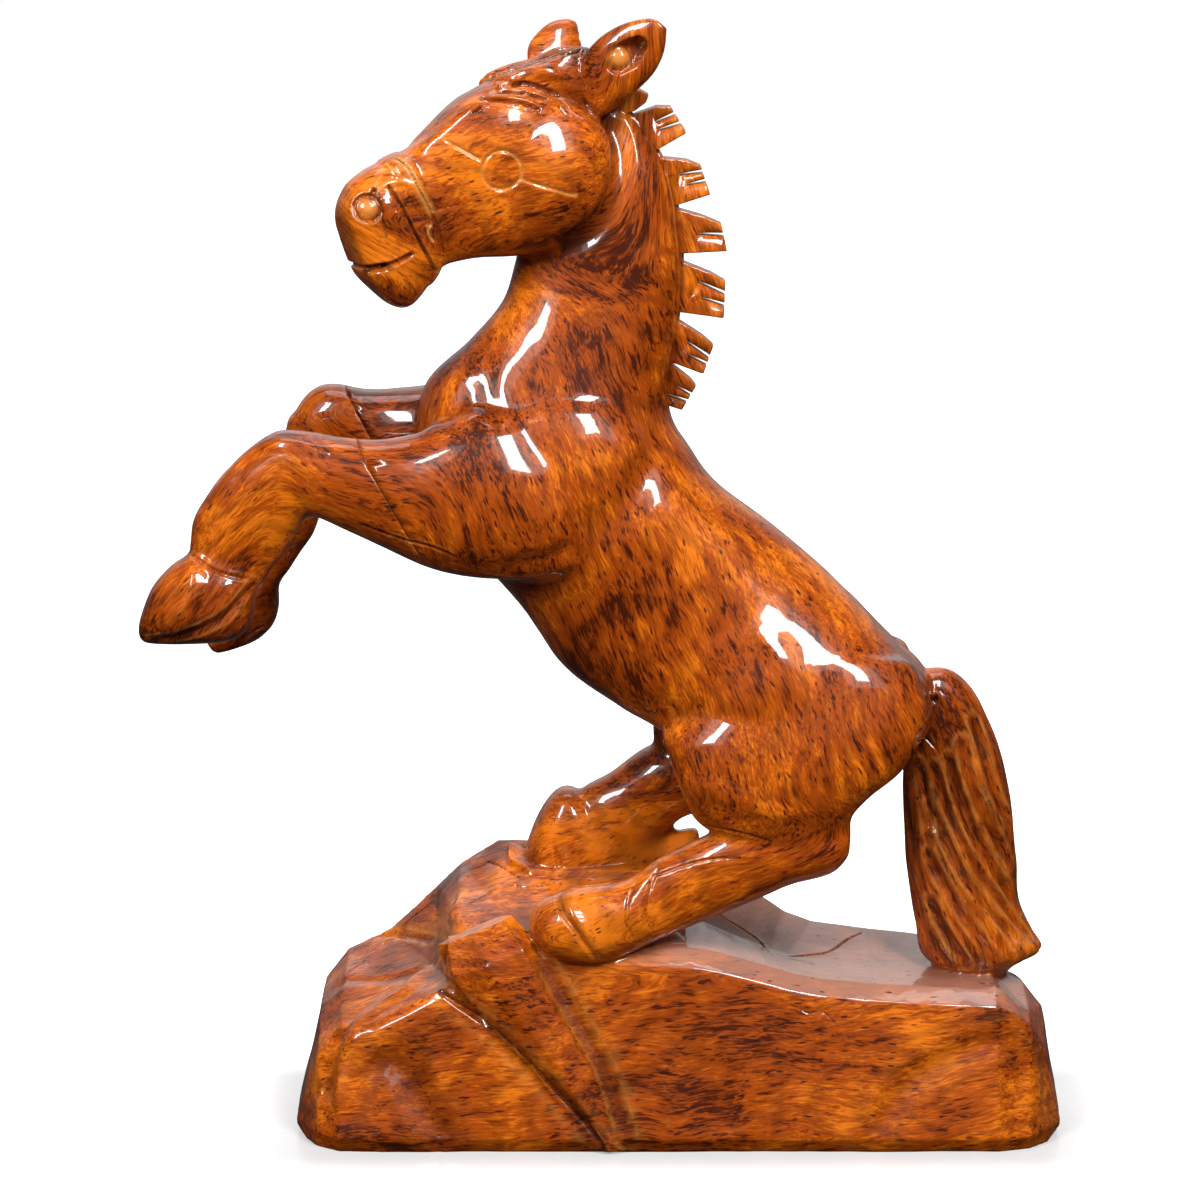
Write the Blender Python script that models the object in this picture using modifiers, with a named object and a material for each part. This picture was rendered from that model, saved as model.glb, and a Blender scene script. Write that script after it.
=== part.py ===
"""A carved wooden horse rearing on a rock, in polished hardwood.

The horse faces -X and its left side faces -Y. The origin is on the ground,
under the middle of the rock. The horse's body and the rock are one carving,
and its two forelegs are glued on at a seam across each forearm.
"""
import math

import bmesh
import bpy
import numpy as np
from mathutils import Matrix, Vector

# Driving dimensions, in metres
HEIGHT = 0.400
BASE_LENGTH = 0.275
BASE_DEPTH = 0.100
BASE_HEIGHT = 0.058
HORSE_RISE = HEIGHT - BASE_HEIGHT
MANE_THICKNESS = 0.0100
SEAM_GAP = 0.0003
CARVING_GRID = 0.0022

# Faces of the blended figure before it is carved, and how often its skin is smoothed
FIGURE_TRIANGLES = 3240
BLEND_ROUNDS = 5

# The horse's own unit: its rise above the rock's top is 342 of them, and the ground is at zero
UNIT = HORSE_RISE / 342.0
GROUND_LEVEL = -58.0
HEAD_TURN = math.radians(22.0)
POLL = (-28.0, 356.0)

# A station is (top x, top z, bottom x, bottom z, half width, middle y, squareness), in horse units
TRUNK = (
    (-40, 343, -20, 360, 8, 0, 2.0),
    (-51, 335, -18, 367, 14, 0, 2.1),
    (-58, 314, -4, 347, 16, 0, 2.2),
    (-63, 299, 1, 322, 17.5, 0, 2.2),
    (-75, 285, 1, 299, 20, 0, 2.2),
    (-92, 267, -4, 263, 27, 0, 2.2),
    (-91, 238, 4, 246, 32, 0, 2.3),
    (-75, 211, 13, 234, 34, 0, 2.3),
    (-58, 191, 29, 222, 33, 0, 2.2),
    (-42, 168, 47, 207, 33, 0, 2.2),
    (-24, 155, 62, 193, 35, 0, 2.4),
    (-5, 144, 76, 178, 38, 0, 2.6),
    (15, 128, 89.5, 164.5, 38, 0, 2.7),
    (45, 121, 91, 146, 32, 0, 2.6),
)
NEAR_THIGH = (
    (30, 186, 72, 175, 10, -18, 2.0),
    (14, 174, 83, 172, 14, -21, 2.1),
    (-5, 151, 88, 154, 17, -24, 2.3),
    (-4, 140, 81, 137, 18, -26, 2.4),
    (1, 126, 68, 126, 16, -28, 2.4),
    (8, 115, 61, 118, 13, -29, 2.4),
    (29, 106, 61, 111, 10, -29, 2.2),
    (44, 100, 60, 104, 6, -29, 2.0),
)
NEAR_CANNON = (
    (61, 115, 60, 104, 7, -29, 2.0),
    (50, 116, 54, 98, 11, -29, 2.2),
    (22, 115, 39, 94, 12, -29, 2.4),
    (8, 111, 28, 89, 11, -29, 2.6),
    (-8, 103, 10, 81, 10, -29, 2.4),
    (-17, 96, -4, 75, 11, -29, 2.4),
    (-24, 94, -14, 71, 13, -29, 2.4),
    (-37, 93, -24, 66, 15, -29, 2.4),
    (-45, 90, -36, 65, 15, -29, 2.4),
    (-51, 87, -48, 68, 12, -29, 2.2),
    (-54, 82, -53, 74, 6, -29, 2.0),
)
FAR_HIND_HOOF = (
    (8, 102, 8, 70, 8, 28, 2.6),
    (-12, 99, -12, 70, 11, 28, 2.8),
    (-28, 106, -28, 70, 13, 28, 3.0),
    (-37, 116, -37, 70, 14, 28, 3.0),
    (-44, 116, -46, 70, 14, 28, 2.8),
    (-51, 107, -53, 70, 12, 28, 2.4),
    (-56, 94, -57, 70, 7, 28, 2.0),
)
FAR_THIGH = (
    (30, 186, 72, 175, 10, 18, 2.0),
    (14, 174, 83, 172, 14, 21, 2.1),
    (-6, 154, 86, 156, 17, 24, 2.3),
    (-9, 142, 80, 142, 18, 26, 2.4),
    (-6, 130, 68, 132, 16, 28, 2.3),
    (16, 120, 62, 123, 12, 28, 2.4),
    (40, 108, 60, 112, 7, 28, 2.0),
)
FAR_CANNON = (
    (61, 124, 60, 110, 7, 28, 2.0),
    (46, 132, 50, 108, 11, 28, 2.2),
    (20, 136, 30, 111, 13, 28, 2.2),
    (-8, 133, 5, 107, 13, 28, 2.3),
    (-25, 122, -5, 99, 12, 28, 2.3),
    (-34, 117, -12, 92, 12, 28, 2.4),
    (-38, 110, -21, 88, 10, 28, 2.2),
)
NEAR_FORELEG = (
    (-52, 264, -24, 214, 15, -20, 2.0),
    (-72, 264, -36, 205, 19, -23, 2.2),
    (-90, 256, -60, 203, 19, -25, 2.3),
    (-104, 253, -83, 206, 17, -26, 2.3),
    (-120, 254, -103, 214, 15, -26, 2.4),
    (-133, 256, -120, 222, 13.5, -26, 2.5),
    (-142, 256, -129, 226, 12.5, -26, 2.5),
    (-149, 251, -132, 225, 12, -26, 2.4),
    (-161, 241, -136, 219, 11, -26, 2.3),
    (-171, 226, -139, 213, 9.5, -26, 2.2),
    (-173, 215, -144, 207, 9, -26, 2.1),
)
FAR_FORELEG = (
    (-52, 270, -20, 222, 15, 20, 2.0),
    (-74, 268, -40, 222, 18, 23, 2.2),
    (-96, 265, -64, 222, 18, 25, 2.3),
    (-112, 264, -90, 226, 15.5, 26, 2.3),
    (-124, 266, -106, 232, 14, 26, 2.4),
    (-132, 264, -119, 237, 12.5, 26, 2.5),
    (-139, 255, -123, 236, 12, 26, 2.5),
    (-149, 234, -128, 223, 10.5, 26, 2.3),
    (-155, 217, -132, 211, 9, 26, 2.2),
    (-160, 207, -136, 206, 8.5, 26, 2.1),
)
NEAR_FORE_HOOF = (
    (-170, 222, -142, 212, 7, -26, 2.0),
    (-173, 213, -146, 203, 9.5, -26, 2.2),
    (-180, 208, -149, 201, 12.5, -26, 2.4),
    (-186, 201, -150, 194, 14, -26, 2.4),
    (-189.8, 192, -151, 188, 14, -26, 2.3),
    (-191.8, 184, -155, 183, 11, -26, 2.1),
    (-190, 180, -160, 181, 5, -26, 2.0),
)
FAR_FORE_HOOF = (
    (-158, 214, -134, 208, 7, 26, 2.0),
    (-161, 200, -141, 198, 9, 26, 2.2),
    (-165, 190, -145, 193, 12, 26, 2.4),
    (-169, 182, -145, 185, 13, 26, 2.5),
    (-172, 173, -147, 178, 12, 26, 2.5),
    (-169, 167, -152, 173, 9, 26, 2.3),
)
TAIL = (
    (76, 158, 86, 166, 6, 0, 2.0),
    (80, 150, 97, 166, 9, 0, 2.0),
    (81, 139, 106, 158, 11, 0, 2.0),
    (81, 126, 115, 139, 12.5, 0, 2.0),
    (81, 111, 120, 117, 13.5, 0, 2.0),
    (82, 97, 122, 97, 14, 0, 2.0),
    (84, 81, 123, 82, 14, 0, 2.0),
    (86, 70, 128, 71, 15, 0, 2.0),
    (88, 62, 132, 63, 15, 0, 2.0),
    (94, 55, 122, 57, 12, 0, 2.0),
    (94, 48, 114, 48, 10, 0, 2.0),
)
# The head's stations run from the poll to the lips, before it is turned: x and z start at the poll
HEAD = (
    (12, 6, 6, -26, 9, 0, 2.0),
    (2, 14, -2, -33, 14, 0, 2.2),
    (-12, 19, -10, -38, 17, 0, 2.3),
    (-24, 23, -20, -40, 18, 0, 2.6),
    (-38, 22.5, -32, -40, 18, 0, 2.8),
    (-50, 17, -45, -40, 16, 0, 3.0),
    (-60, 9, -55, -41, 13.5, 0, 3.0),
    (-68, 2, -62, -43, 12, 0, 3.0),
    (-76, -3, -67, -50, 11.5, 0, 2.9),
    (-86, -7, -73, -56, 13, 0, 2.9),
    (-93.5, -12, -79, -55.5, 12.5, 0, 3.0),
    (-96.5, -17.5, -85.5, -50, 11.5, 0, 3.0),
    (-98, -22.5, -90.5, -45, 9.5, 0, 2.8),
)
# The ears' stations run from root to tip, in horse units
NEAR_EAR = (
    (-37, 377, -27, 361, 4.5, -12, 2.0),
    (-34, 386, -26, 365, 5.0, -14, 2.2),
    (-28, 393, -18, 372, 5.0, -16, 2.4),
    (-20, 398, -10, 380, 4.2, -18, 2.4),
    (-12, 400, -6, 388, 3.2, -20, 2.2),
    (-8, 399, -5, 396, 1.6, -21, 2.0),
)
FAR_EAR = (
    (-50, 368, -38, 360, 5.0, 3, 2.0),
    (-53, 378, -39, 365, 5.0, 9, 2.1),
    (-54, 387, -38, 370, 5.0, 13, 2.2),
    (-51, 392, -36, 376, 5.0, 16, 2.4),
    (-46, 396, -35, 384, 4.2, 18, 2.4),
    (-40, 397, -35, 390, 3.2, 20, 2.2),
    (-37, 396, -36, 393, 1.6, 21, 2.0),
)
# Muscles and cheeks are egg shapes: middle, half sizes and tilt about Y in degrees
MUSCLES = (
    ((-48, -20, 236), (40, 17, 32), -25),
    ((-48, 20, 238), (40, 17, 32), -25),
    ((33, -17, 158), (50, 23, 33), 38),
    ((33, 17, 158), (50, 23, 33), 38),
)
CHEEKS = (
    ((-19, -9, -11), (25, 14, 25), 0),
    ((-19, 9, -11), (25, 14, 25), 0),
)
# Each tuft of the mane is (top of the root, brow, top of the tip, foot of the tip, notch, slots),
# and each slot is (its share of the way down the tip, its end)
MANE_TUFTS = (
    ((-19.9, 370.2), (-15, 374), (-11.2, 371.9), (-12.2, 369.2), (-16.1, 366.4), ()),
    ((-15.6, 365.3), (-8.4, 367.9), (-3.7, 367.8), (2.0, 358.5), (-8.5, 352.5),
     ((0.27, (-9.0, 362.4)), (0.62, (-8.0, 359.6)))),
    ((-7.3, 349.9), (2.0, 349.0), (7.0, 347.1), (10.5, 336.8), (-1.2, 333.2),
     ((0.20, (-0.6, 343.9)), (0.52, (2.3, 340.4)))),
    ((-1.5, 332.0), (7.9, 329.3), (14.4, 326.6), (16.5, 316.8), (0.9, 316.1), ((0.40, (5.9, 323.1)),)),
    ((1.2, 313.0), (10.9, 309.1), (16.0, 306.2), (15.5, 293.0), (-0.2, 295.3),
     ((0.32, (6.5, 306.1)), (0.63, (7.2, 300.5)))),
    ((-0.9, 292.5), (8.0, 286.8), (11.9, 283.4), (8.3, 273.1), (-4.0, 277.8),
     ((0.40, (2.5, 284.7)), (0.64, (3.4, 279.8)))),
    ((-4.2, 277.8), (3.7, 271.4), (5.8, 268.9), (0.7, 260.2), (-4.4, 262.0),
     ((0.35, (-1.0, 268.8)), (0.62, (-3.9, 265.8)))),
)
# The forelock's strands run forward over the poll, on the straight head
FORELOCK = (
    (4, 16, 6, 6, 4, 0, 2.0),
    (-4, 31, 0, 8, 6, 0, 2.2),
    (-12, 32.5, -12, 10, 7, 0, 2.2),
    (-22, 29.5, -22, 12, 6, 0, 2.2),
    (-32, 26, -32, 14, 4, 0, 2.0),
    (-42, 21.5, -42, 16, 2, 0, 2.0),
)
FORELOCK_SPREAD = 8.0
# The noseband runs round the head between two stations, and leans forward at the top by a share of one
NOSEBAND_FROM = 7.35
NOSEBAND_TO = 8.3
NOSEBAND_LEAN = 0.42
NOSEBAND_RISE = 1.0
# The mouth is a slit on each side of the straight head: its middle, tilt, height, length and depth
MOUTH = (-85.0, -40.4)
MOUTH_TILT = 20.0
MOUTH_HEIGHT = 1.8
MOUTH_LENGTH = 26.0
MOUTH_DEPTH = 4.0
# It opens at the front as a wedge across the muzzle: two front corners and the end
LIPS = ((-104.0, -41.6), (-104.0, -45.8), (-83.5, -39.2))
LIPS_HALF_WIDTH = 30.0
# How far beyond a surface its cutters reach, and how far outside the head a point on it is looked for
OVERRUN = 4.0
LOOK_FROM = 60.0
NOSTRIL = (-90.9, -20.2)
NOSTRIL_RADIUS = 4.6
NOSTRIL_DEPTH = 2.4
EYE = (-43.8, -8.1)
EYE_RADIUS = 6.7
EYE_LINE = 1.1
# The ear pockets: middle on the ear's outer face, half sizes, and their tilt in degrees
NEAR_POCKET = ((-19.5, -22.5, 387.0), (8.0, 4.5, 5.2))
FAR_POCKET = ((-42.0, 22.5, 387.0), (7.0, 4.5, 5.2))
POCKET_TILT = -40.0
# The seam across each forearm, seen from the side, and how far apart the forelegs are
SEAM_TOP = (-113.0, 252.0)
SEAM_FOOT = (-89.0, 209.0)
SEAM_CLEARANCE = 5.0
BREAST = 3.0
MANE_ROOT_DEPTH = 12.0
MANE_THINNING = 0.03
FINGER_SLOT = 1.6
TAIL_FLUTES = 14
TAIL_SIDES = 56
TAIL_SWEEP = 2.0
FLUTE_DEPTH = 0.12

# The rock's sections: (x; near foot y; near edge y, z; middle y, z; far edge y, z; far foot y).
# x is a share of half the base's length, y of half its depth, and z of its height.
ROCK = (
    (-1.00, -0.40, -0.32, 0.12, 0.00, 0.18, 0.36, 0.14, 0.44),
    (-0.97, -0.62, -0.46, 0.34, -0.06, 0.44, 0.52, 0.42, 0.66),
    (-0.94, -0.80, -0.64, 0.56, -0.10, 0.74, 0.60, 0.78, 0.78),
    (-0.88, -0.95, -0.76, 0.68, -0.15, 0.86, 0.63, 0.96, 0.86),
    (-0.77, -0.97, -0.80, 0.80, -0.20, 0.91, 0.66, 1.08, 0.92),
    (-0.64, -0.97, -0.80, 0.96, -0.24, 1.02, 0.74, 1.35, 0.96),
    (-0.58, -0.97, -0.80, 1.03, -0.20, 1.32, 0.78, 1.49, 1.00),
    (-0.48, -0.97, -0.80, 1.22, -0.10, 1.38, 0.84, 1.63, 1.00),
    (-0.34, -0.97, -0.80, 1.28, -0.05, 1.42, 0.86, 1.65, 1.00),
    (-0.10, -0.97, -0.80, 1.24, 0.00, 1.38, 0.88, 1.65, 1.00),
    (0.02, -0.97, -0.80, 1.22, 0.00, 1.30, 0.88, 1.62, 1.00),
    (0.12, -0.97, -0.80, 1.18, 0.00, 1.20, 0.88, 1.45, 1.00),
    (0.24, -0.97, -0.80, 1.10, 0.00, 1.08, 0.88, 1.27, 1.00),
    (0.36, -0.97, -0.80, 1.03, 0.00, 1.02, 0.88, 1.12, 1.00),
    (0.65, -0.97, -0.80, 0.97, 0.00, 0.98, 0.88, 1.035, 1.00),
    (0.82, -0.97, -0.80, 0.96, 0.00, 0.96, 0.84, 0.88, 1.00),
    (0.91, -0.88, -0.70, 0.80, 0.00, 0.88, 0.70, 0.80, 0.88),
    (0.96, -0.70, -0.52, 0.56, 0.00, 0.72, 0.50, 0.62, 0.70),
    (1.00, -0.44, -0.34, 0.14, 0.00, 0.22, 0.34, 0.16, 0.44),
)
# The rock is worn smooth between these shares of its half length
WORN_FROM = -0.34
WORN_TO = 0.82
ROCK_STEPS = 2
# The rock's upper edges as shares of their depth and height, crisp and worn round,
# then how far in its foot starts and the height of that foot
CRISP_EDGE = ((1.0, 0.95), (0.975, 0.975), (0.95, 1.0))
WORN_EDGE = ((1.0, 0.74), (0.94, 0.92), (0.76, 1.0))
FOOT_EDGE = 0.95
ROCK_FOOT = 0.09
# Faceted swellings of the rock, as limb stations in horse units
NEAR_BOULDER = (
    (-86, 72, -60, 83, 6, -30, 2.4),
    (-84, 61, -52, 75, 15, -31, 2.8),
    (-71, 44, -41, 52, 15, -33, 2.8),
    (-57, 31, -30, 33, 14, -35, 2.8),
    (-44, 16, -24, 18, 14, -36, 2.8),
    (-32, 1, -18, 1, 13, -37, 3.0),
)
FAR_BOULDER = (
    (-62, 96, -60, 60, 12, 30, 3.0),
    (-54, 92, -54, 60, 17, 26, 3.4),
    (-12, 92, -12, 60, 17, 26, 3.4),
    (8, 86, 8, 60, 13, 28, 3.0),
)

WOOD = (0.36, 0.115, 0.028, 1.0)


def catmull_rom(points, steps):
    """Points on a smooth curve through the given rows, with steps to each stretch."""
    rows = np.array(points, dtype=float)
    padded = np.vstack([2 * rows[0] - rows[1], rows, 2 * rows[-1] - rows[-2]])
    out = []
    for k in range(1, len(padded) - 2):
        a, b, c, d = padded[k - 1:k + 3]
        for j in range(steps):
            t = j / steps
            out.append(0.5 * (2 * b + (c - a) * t + (2 * a - 5 * b + 4 * c - d) * t ** 2
                              + (3 * b - a - 3 * c + d) * t ** 3))
    out.append(rows[-1])
    return np.array(out)


def place(x, y, z):
    """A point given in horse units, in metres above the ground."""
    return Vector((x * UNIT, y * UNIT, BASE_HEIGHT + (z + GROUND_LEVEL) * UNIT))


def turn_head(x, y, z):
    """A point measured from the poll on the straight head, in horse units, on the turned head."""
    cosine = math.cos(HEAD_TURN)
    sine = math.sin(HEAD_TURN)
    return POLL[0] + x * cosine - y * sine, x * sine + y * cosine, POLL[1] + z


def new_object(name, mesh, collection):
    made = bpy.data.objects.new(name, mesh)
    collection.objects.link(made)
    return made


def mesh_object(name, shape, collection):
    """An object from a bmesh, with its faces outward and made of triangles."""
    bmesh.ops.recalc_face_normals(shape, faces=shape.faces)
    bmesh.ops.triangulate(shape, faces=shape.faces)
    mesh = bpy.data.meshes.new(name)
    shape.to_mesh(mesh)
    shape.free()
    return new_object(name, mesh, collection)


def skin_rings(shape, rings):
    """Side faces between rings of vertices, and a cap at each end."""
    for first, second in zip(rings, rings[1:]):
        count = len(first)
        for k in range(count):
            n = (k + 1) % count
            shape.faces.new((first[k], first[n], second[n], second[k]))
    shape.faces.new(rings[0])
    shape.faces.new(rings[-1])


def section(station, sides, flute=None):
    """One ring of a limb: a rounded section between its top and bottom points."""
    top_x, top_z, low_x, low_z, half_width, middle, squareness = station
    power = 2.0 / squareness
    points = []
    for k in range(sides):
        angle = 2 * math.pi * k / sides
        up = math.copysign(abs(math.cos(angle)) ** power, math.cos(angle))
        side = math.copysign(abs(math.sin(angle)) ** power, math.sin(angle))
        reach = 1.0 if flute is None else flute(angle)
        share = 0.5 + 0.5 * up * reach
        points.append((low_x + (top_x - low_x) * share, middle + half_width * side * reach,
                       low_z + (top_z - low_z) * share))
    return points


def limb(name, stations, collection, sides=20, steps=3, to_world=None, flutes=None):
    """A closed loft through the stations of a limb, the trunk, the head or the tail."""
    shape = bmesh.new()
    rings = []
    rows = catmull_rom(stations, steps)
    for index, row in enumerate(rows):
        along = index / (len(rows) - 1)
        flute = None if flutes is None else flutes(along)
        ring = []
        for point in section(row, sides, flute):
            world = to_world(*point) if to_world else point
            ring.append(shape.verts.new(place(*world)))
        rings.append(ring)
    skin_rings(shape, rings)
    return mesh_object(name, shape, collection)


def egg(name, middle, halves, tilt, collection, to_world=None):
    """An egg-shaped muscle, tilted about Y."""
    shape = bmesh.new()
    bmesh.ops.create_uvsphere(shape, u_segments=24, v_segments=14, radius=1.0)
    turn = Matrix.Rotation(math.radians(tilt), 3, "Y")
    for vert in shape.verts:
        local = turn @ Vector([c * h for c, h in zip(vert.co, halves)])
        point = [m + c for m, c in zip(middle, local)]
        vert.co = place(*(to_world(*point) if to_world else point))
    return mesh_object(name, shape, collection)


def tuft_outline(root, brow, tip_top, tip_foot, notch, slots):
    """The side view of one tuft: a blunt board with slots cut into its tip."""
    root, brow, tip_top, tip_foot, notch = (Vector(p) for p in (root, brow, tip_top, tip_foot, notch))
    edge = tip_foot - tip_top
    half_slot = edge.normalized() * (FINGER_SLOT / 2)
    points = [root, brow, tip_top]
    for share, end in slots:
        mouth = tip_top + edge * share
        points += [mouth - half_slot, Vector(end), mouth + half_slot]
    return points + [tip_foot, notch]


def tuft(index, values, collection):
    """One tuft of the mane, a flat board set into the crest of the neck."""
    outline = tuft_outline(*values)
    root, notch = Vector(values[0]), Vector(values[4])
    inward = (root + notch) * 0.5 - (Vector(values[2]) + Vector(values[3])) * 0.5
    depth = inward.normalized() * MANE_ROOT_DEPTH
    outline = [root + depth] + outline + [notch + depth]
    half = MANE_THICKNESS / UNIT / 2 * (1.0 - MANE_THINNING * index)
    shape = bmesh.new()
    sides = []
    for y in (-half, half):
        sides.append([shape.verts.new(place(p.x, y, p.y)) for p in outline])
    skin_rings(shape, sides)
    return mesh_object("mane_tuft_%d" % (index + 1), shape, collection)


def rock_rows():
    """The rock's rows, with smooth ones added where its top is worn round."""
    crisp = [row for row in ROCK if row[0] < WORN_FROM]
    worn = [row for row in ROCK if WORN_FROM <= row[0] <= WORN_TO]
    end = [row for row in ROCK if row[0] > WORN_TO]
    return crisp + [tuple(float(v) for v in row) for row in catmull_rom(worn, ROCK_STEPS)] + end


def rock(collection):
    """The rock: a loft along X, with a foot, two upper edges and a crease between them."""
    shape = bmesh.new()
    rings = []
    for x, near_foot, near_y, near_z, mid_y, mid_z, far_y, far_z, far_foot in rock_rows():
        low = ROCK_FOOT / 2 if abs(x) == 1.0 else 0.0
        edge = WORN_EDGE if x >= WORN_FROM else CRISP_EDGE
        outline = ((near_foot * FOOT_EDGE, low), (near_foot, ROCK_FOOT),
                   *((near_y * out, near_z * up) for out, up in edge), (mid_y, mid_z),
                   *((far_y * out, far_z * up) for out, up in reversed(edge)),
                   (far_foot, ROCK_FOOT), (far_foot * FOOT_EDGE, low))
        rings.append([shape.verts.new((x * BASE_LENGTH / 2, y * BASE_DEPTH / 2, z * BASE_HEIGHT))
                      for y, z in outline])
    skin_rings(shape, rings)
    return mesh_object("rock", shape, collection)


def boulder(name, stations, collection):
    """A faceted swelling of the rock, in horse units."""
    return limb(name, stations, collection, sides=8, steps=1)


def noseband(collection):
    """The strap round the muzzle, a little proud of the head's own sections."""
    fine, sides, rows_across = 8, 24, 4
    rows = catmull_rom(HEAD, fine)
    shape = bmesh.new()
    rings = []
    for share in np.linspace(0.0, 1.0, rows_across):
        middle_along = NOSEBAND_FROM + (NOSEBAND_TO - NOSEBAND_FROM) * share
        ring = []
        for k in range(sides):
            along = (middle_along + NOSEBAND_LEAN * math.cos(2 * math.pi * k / sides)) * fine
            before = int(along)
            row = rows[before] + (rows[before + 1] - rows[before]) * (along - before)
            top_x, top_z, low_x, low_z, half_width, middle, squareness = row
            up = Vector((top_x - low_x, top_z - low_z)).normalized() * NOSEBAND_RISE
            lifted = (top_x + up.x, top_z + up.y, low_x - up.x, low_z - up.y,
                      half_width + NOSEBAND_RISE, middle, squareness)
            ring.append(shape.verts.new(place(*turn_head(*section(lifted, sides)[k]))))
        rings.append(ring)
    skin_rings(shape, rings)
    return mesh_object("noseband", shape, collection)


def forelock(collection):
    """Strands of the forelock, side by side over the poll."""
    made = []
    for k in (-1, 0, 1):
        stations = [row[:5] + (k * FORELOCK_SPREAD * (0.6 + 0.1 * n), row[6])
                    for n, row in enumerate(FORELOCK)]
        made.append(limb("forelock_%d" % (k + 2), stations, collection, sides=10, steps=1,
                         to_world=turn_head))
    return made


def tail_flutes(along):
    """The flutes of the tail, which sweep round it on the way down."""
    depth = FLUTE_DEPTH * min(1.0, along * 3)

    def reach(angle):
        return 1.0 - depth * (0.5 + 0.5 * math.cos(TAIL_FLUTES * angle + TAIL_FLUTES * TAIL_SWEEP * along))
    return reach


def baked(made, name, collection):
    """A plain mesh object with the modifiers of another applied."""
    graph = bpy.context.evaluated_depsgraph_get()
    mesh = bpy.data.meshes.new_from_object(made.evaluated_get(graph))
    mesh.name = name
    fresh = new_object(name, mesh, collection)
    bpy.data.objects.remove(made)
    return fresh


def joined(name, pieces, collection):
    """Several closed shapes in one mesh, not yet blended."""
    shape = bmesh.new()
    for piece in pieces:
        shape.from_mesh(piece.data)
        bpy.data.objects.remove(piece)
    mesh = bpy.data.meshes.new(name)
    shape.to_mesh(mesh)
    shape.free()
    return new_object(name, mesh, collection)


def blended(name, pieces, collection, rounds, triangles):
    """One skin round overlapping shapes, smoothed where they meet and thinned to fewer faces."""
    whole = joined(name + "_shapes", pieces, collection)
    remesh = whole.modifiers.new("One skin", "REMESH")
    remesh.mode = "VOXEL"
    remesh.voxel_size = CARVING_GRID
    smooth = whole.modifiers.new("Blend", "SMOOTH")
    smooth.factor = 0.5
    smooth.iterations = rounds
    whole = baked(whole, name + "_skin", collection)
    faces = len(whole.data.polygons) * 2
    thin = whole.modifiers.new("Fewer faces", "DECIMATE")
    thin.ratio = min(1.0, triangles / faces)
    thin.use_collapse_triangulate = True
    return baked(whole, name, collection)


def boolean(target, other, operation):
    step = target.modifiers.new(operation.title(), "BOOLEAN")
    step.operation = operation
    step.solver = "MANIFOLD"
    step.object = other
    return step


def united(name, target, others, collection):
    """The target with other closed shapes joined to it."""
    for other in others:
        boolean(target, other, "UNION")
    whole = baked(target, name, collection)
    for other in others:
        bpy.data.objects.remove(other)
    return whole


def cutter_box(name, corner_low, corner_high, tilt, pivot, collection, to_world=None):
    """A box between two corners in horse units, tilted about Y at the pivot."""
    shape = bmesh.new()
    bmesh.ops.create_cube(shape, size=1.0)
    turn = Matrix.Rotation(math.radians(tilt), 3, "Y")
    low, high = Vector(corner_low), Vector(corner_high)
    middle = Vector(pivot)
    for vert in shape.verts:
        local = Vector([low[k] + (vert.co[k] + 0.5) * (high[k] - low[k]) for k in range(3)])
        point = middle + turn @ local
        vert.co = place(*(to_world(*point) if to_world else point))
    return hide_cutter(mesh_object(name, shape, collection))


def hide_cutter(cutter):
    cutter.hide_render = True
    cutter.display_type = "WIRE"
    return cutter


def head_side(target, x, z, side):
    """The point on the head's side, and the way out, at a place on the straight head."""
    start = place(*turn_head(x, side * LOOK_FROM, z))
    end = place(*turn_head(x, 0.0, z))
    found, point, normal, face = target.ray_cast(start, (end - start).normalized())
    if not found:
        raise RuntimeError("the head has no side at %s, %s" % (x, z))
    return point, normal


def head_cutters(target, collection):
    """The nostrils, the eye rings and the slit of the mouth."""
    made = []
    for side in (-1, 1):
        point, normal = head_side(target, *NOSTRIL, side)
        shape = bmesh.new()
        bmesh.ops.create_uvsphere(shape, u_segments=14, v_segments=9, radius=NOSTRIL_RADIUS * UNIT)
        lift = normal * (NOSTRIL_RADIUS - NOSTRIL_DEPTH) * UNIT
        bmesh.ops.translate(shape, verts=shape.verts, vec=point + lift)
        made.append(hide_cutter(mesh_object("nostril_cutter", shape, collection)))
        point, normal = head_side(target, *EYE, side)
        bpy.ops.mesh.primitive_torus_add(location=point, rotation=normal.to_track_quat("Z", "Y").to_euler(),
                                         major_segments=24, minor_segments=6,
                                         major_radius=EYE_RADIUS * UNIT, minor_radius=EYE_LINE * UNIT)
        ring = bpy.context.object
        ring.name = "eye_cutter"
        ring.users_collection[0].objects.unlink(ring)
        collection.objects.link(ring)
        made.append(hide_cutter(ring))
        low = (-MOUTH_LENGTH / 2, -MOUTH_DEPTH - OVERRUN, -MOUTH_HEIGHT / 2)
        high = (MOUTH_LENGTH / 2, MOUTH_DEPTH + OVERRUN, MOUTH_HEIGHT / 2)
        pivot = (MOUTH[0], side * (HEAD[9][4] + OVERRUN), MOUTH[1])
        made.append(cutter_box("mouth_cutter", low, high, -MOUTH_TILT, pivot, collection, turn_head))
    shape = bmesh.new()
    skin_rings(shape, [[shape.verts.new(place(*turn_head(x, y, z))) for x, z in LIPS]
                       for y in (-LIPS_HALF_WIDTH, LIPS_HALF_WIDTH)])
    made.append(hide_cutter(mesh_object("lips_cutter", shape, collection)))
    return made


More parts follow.
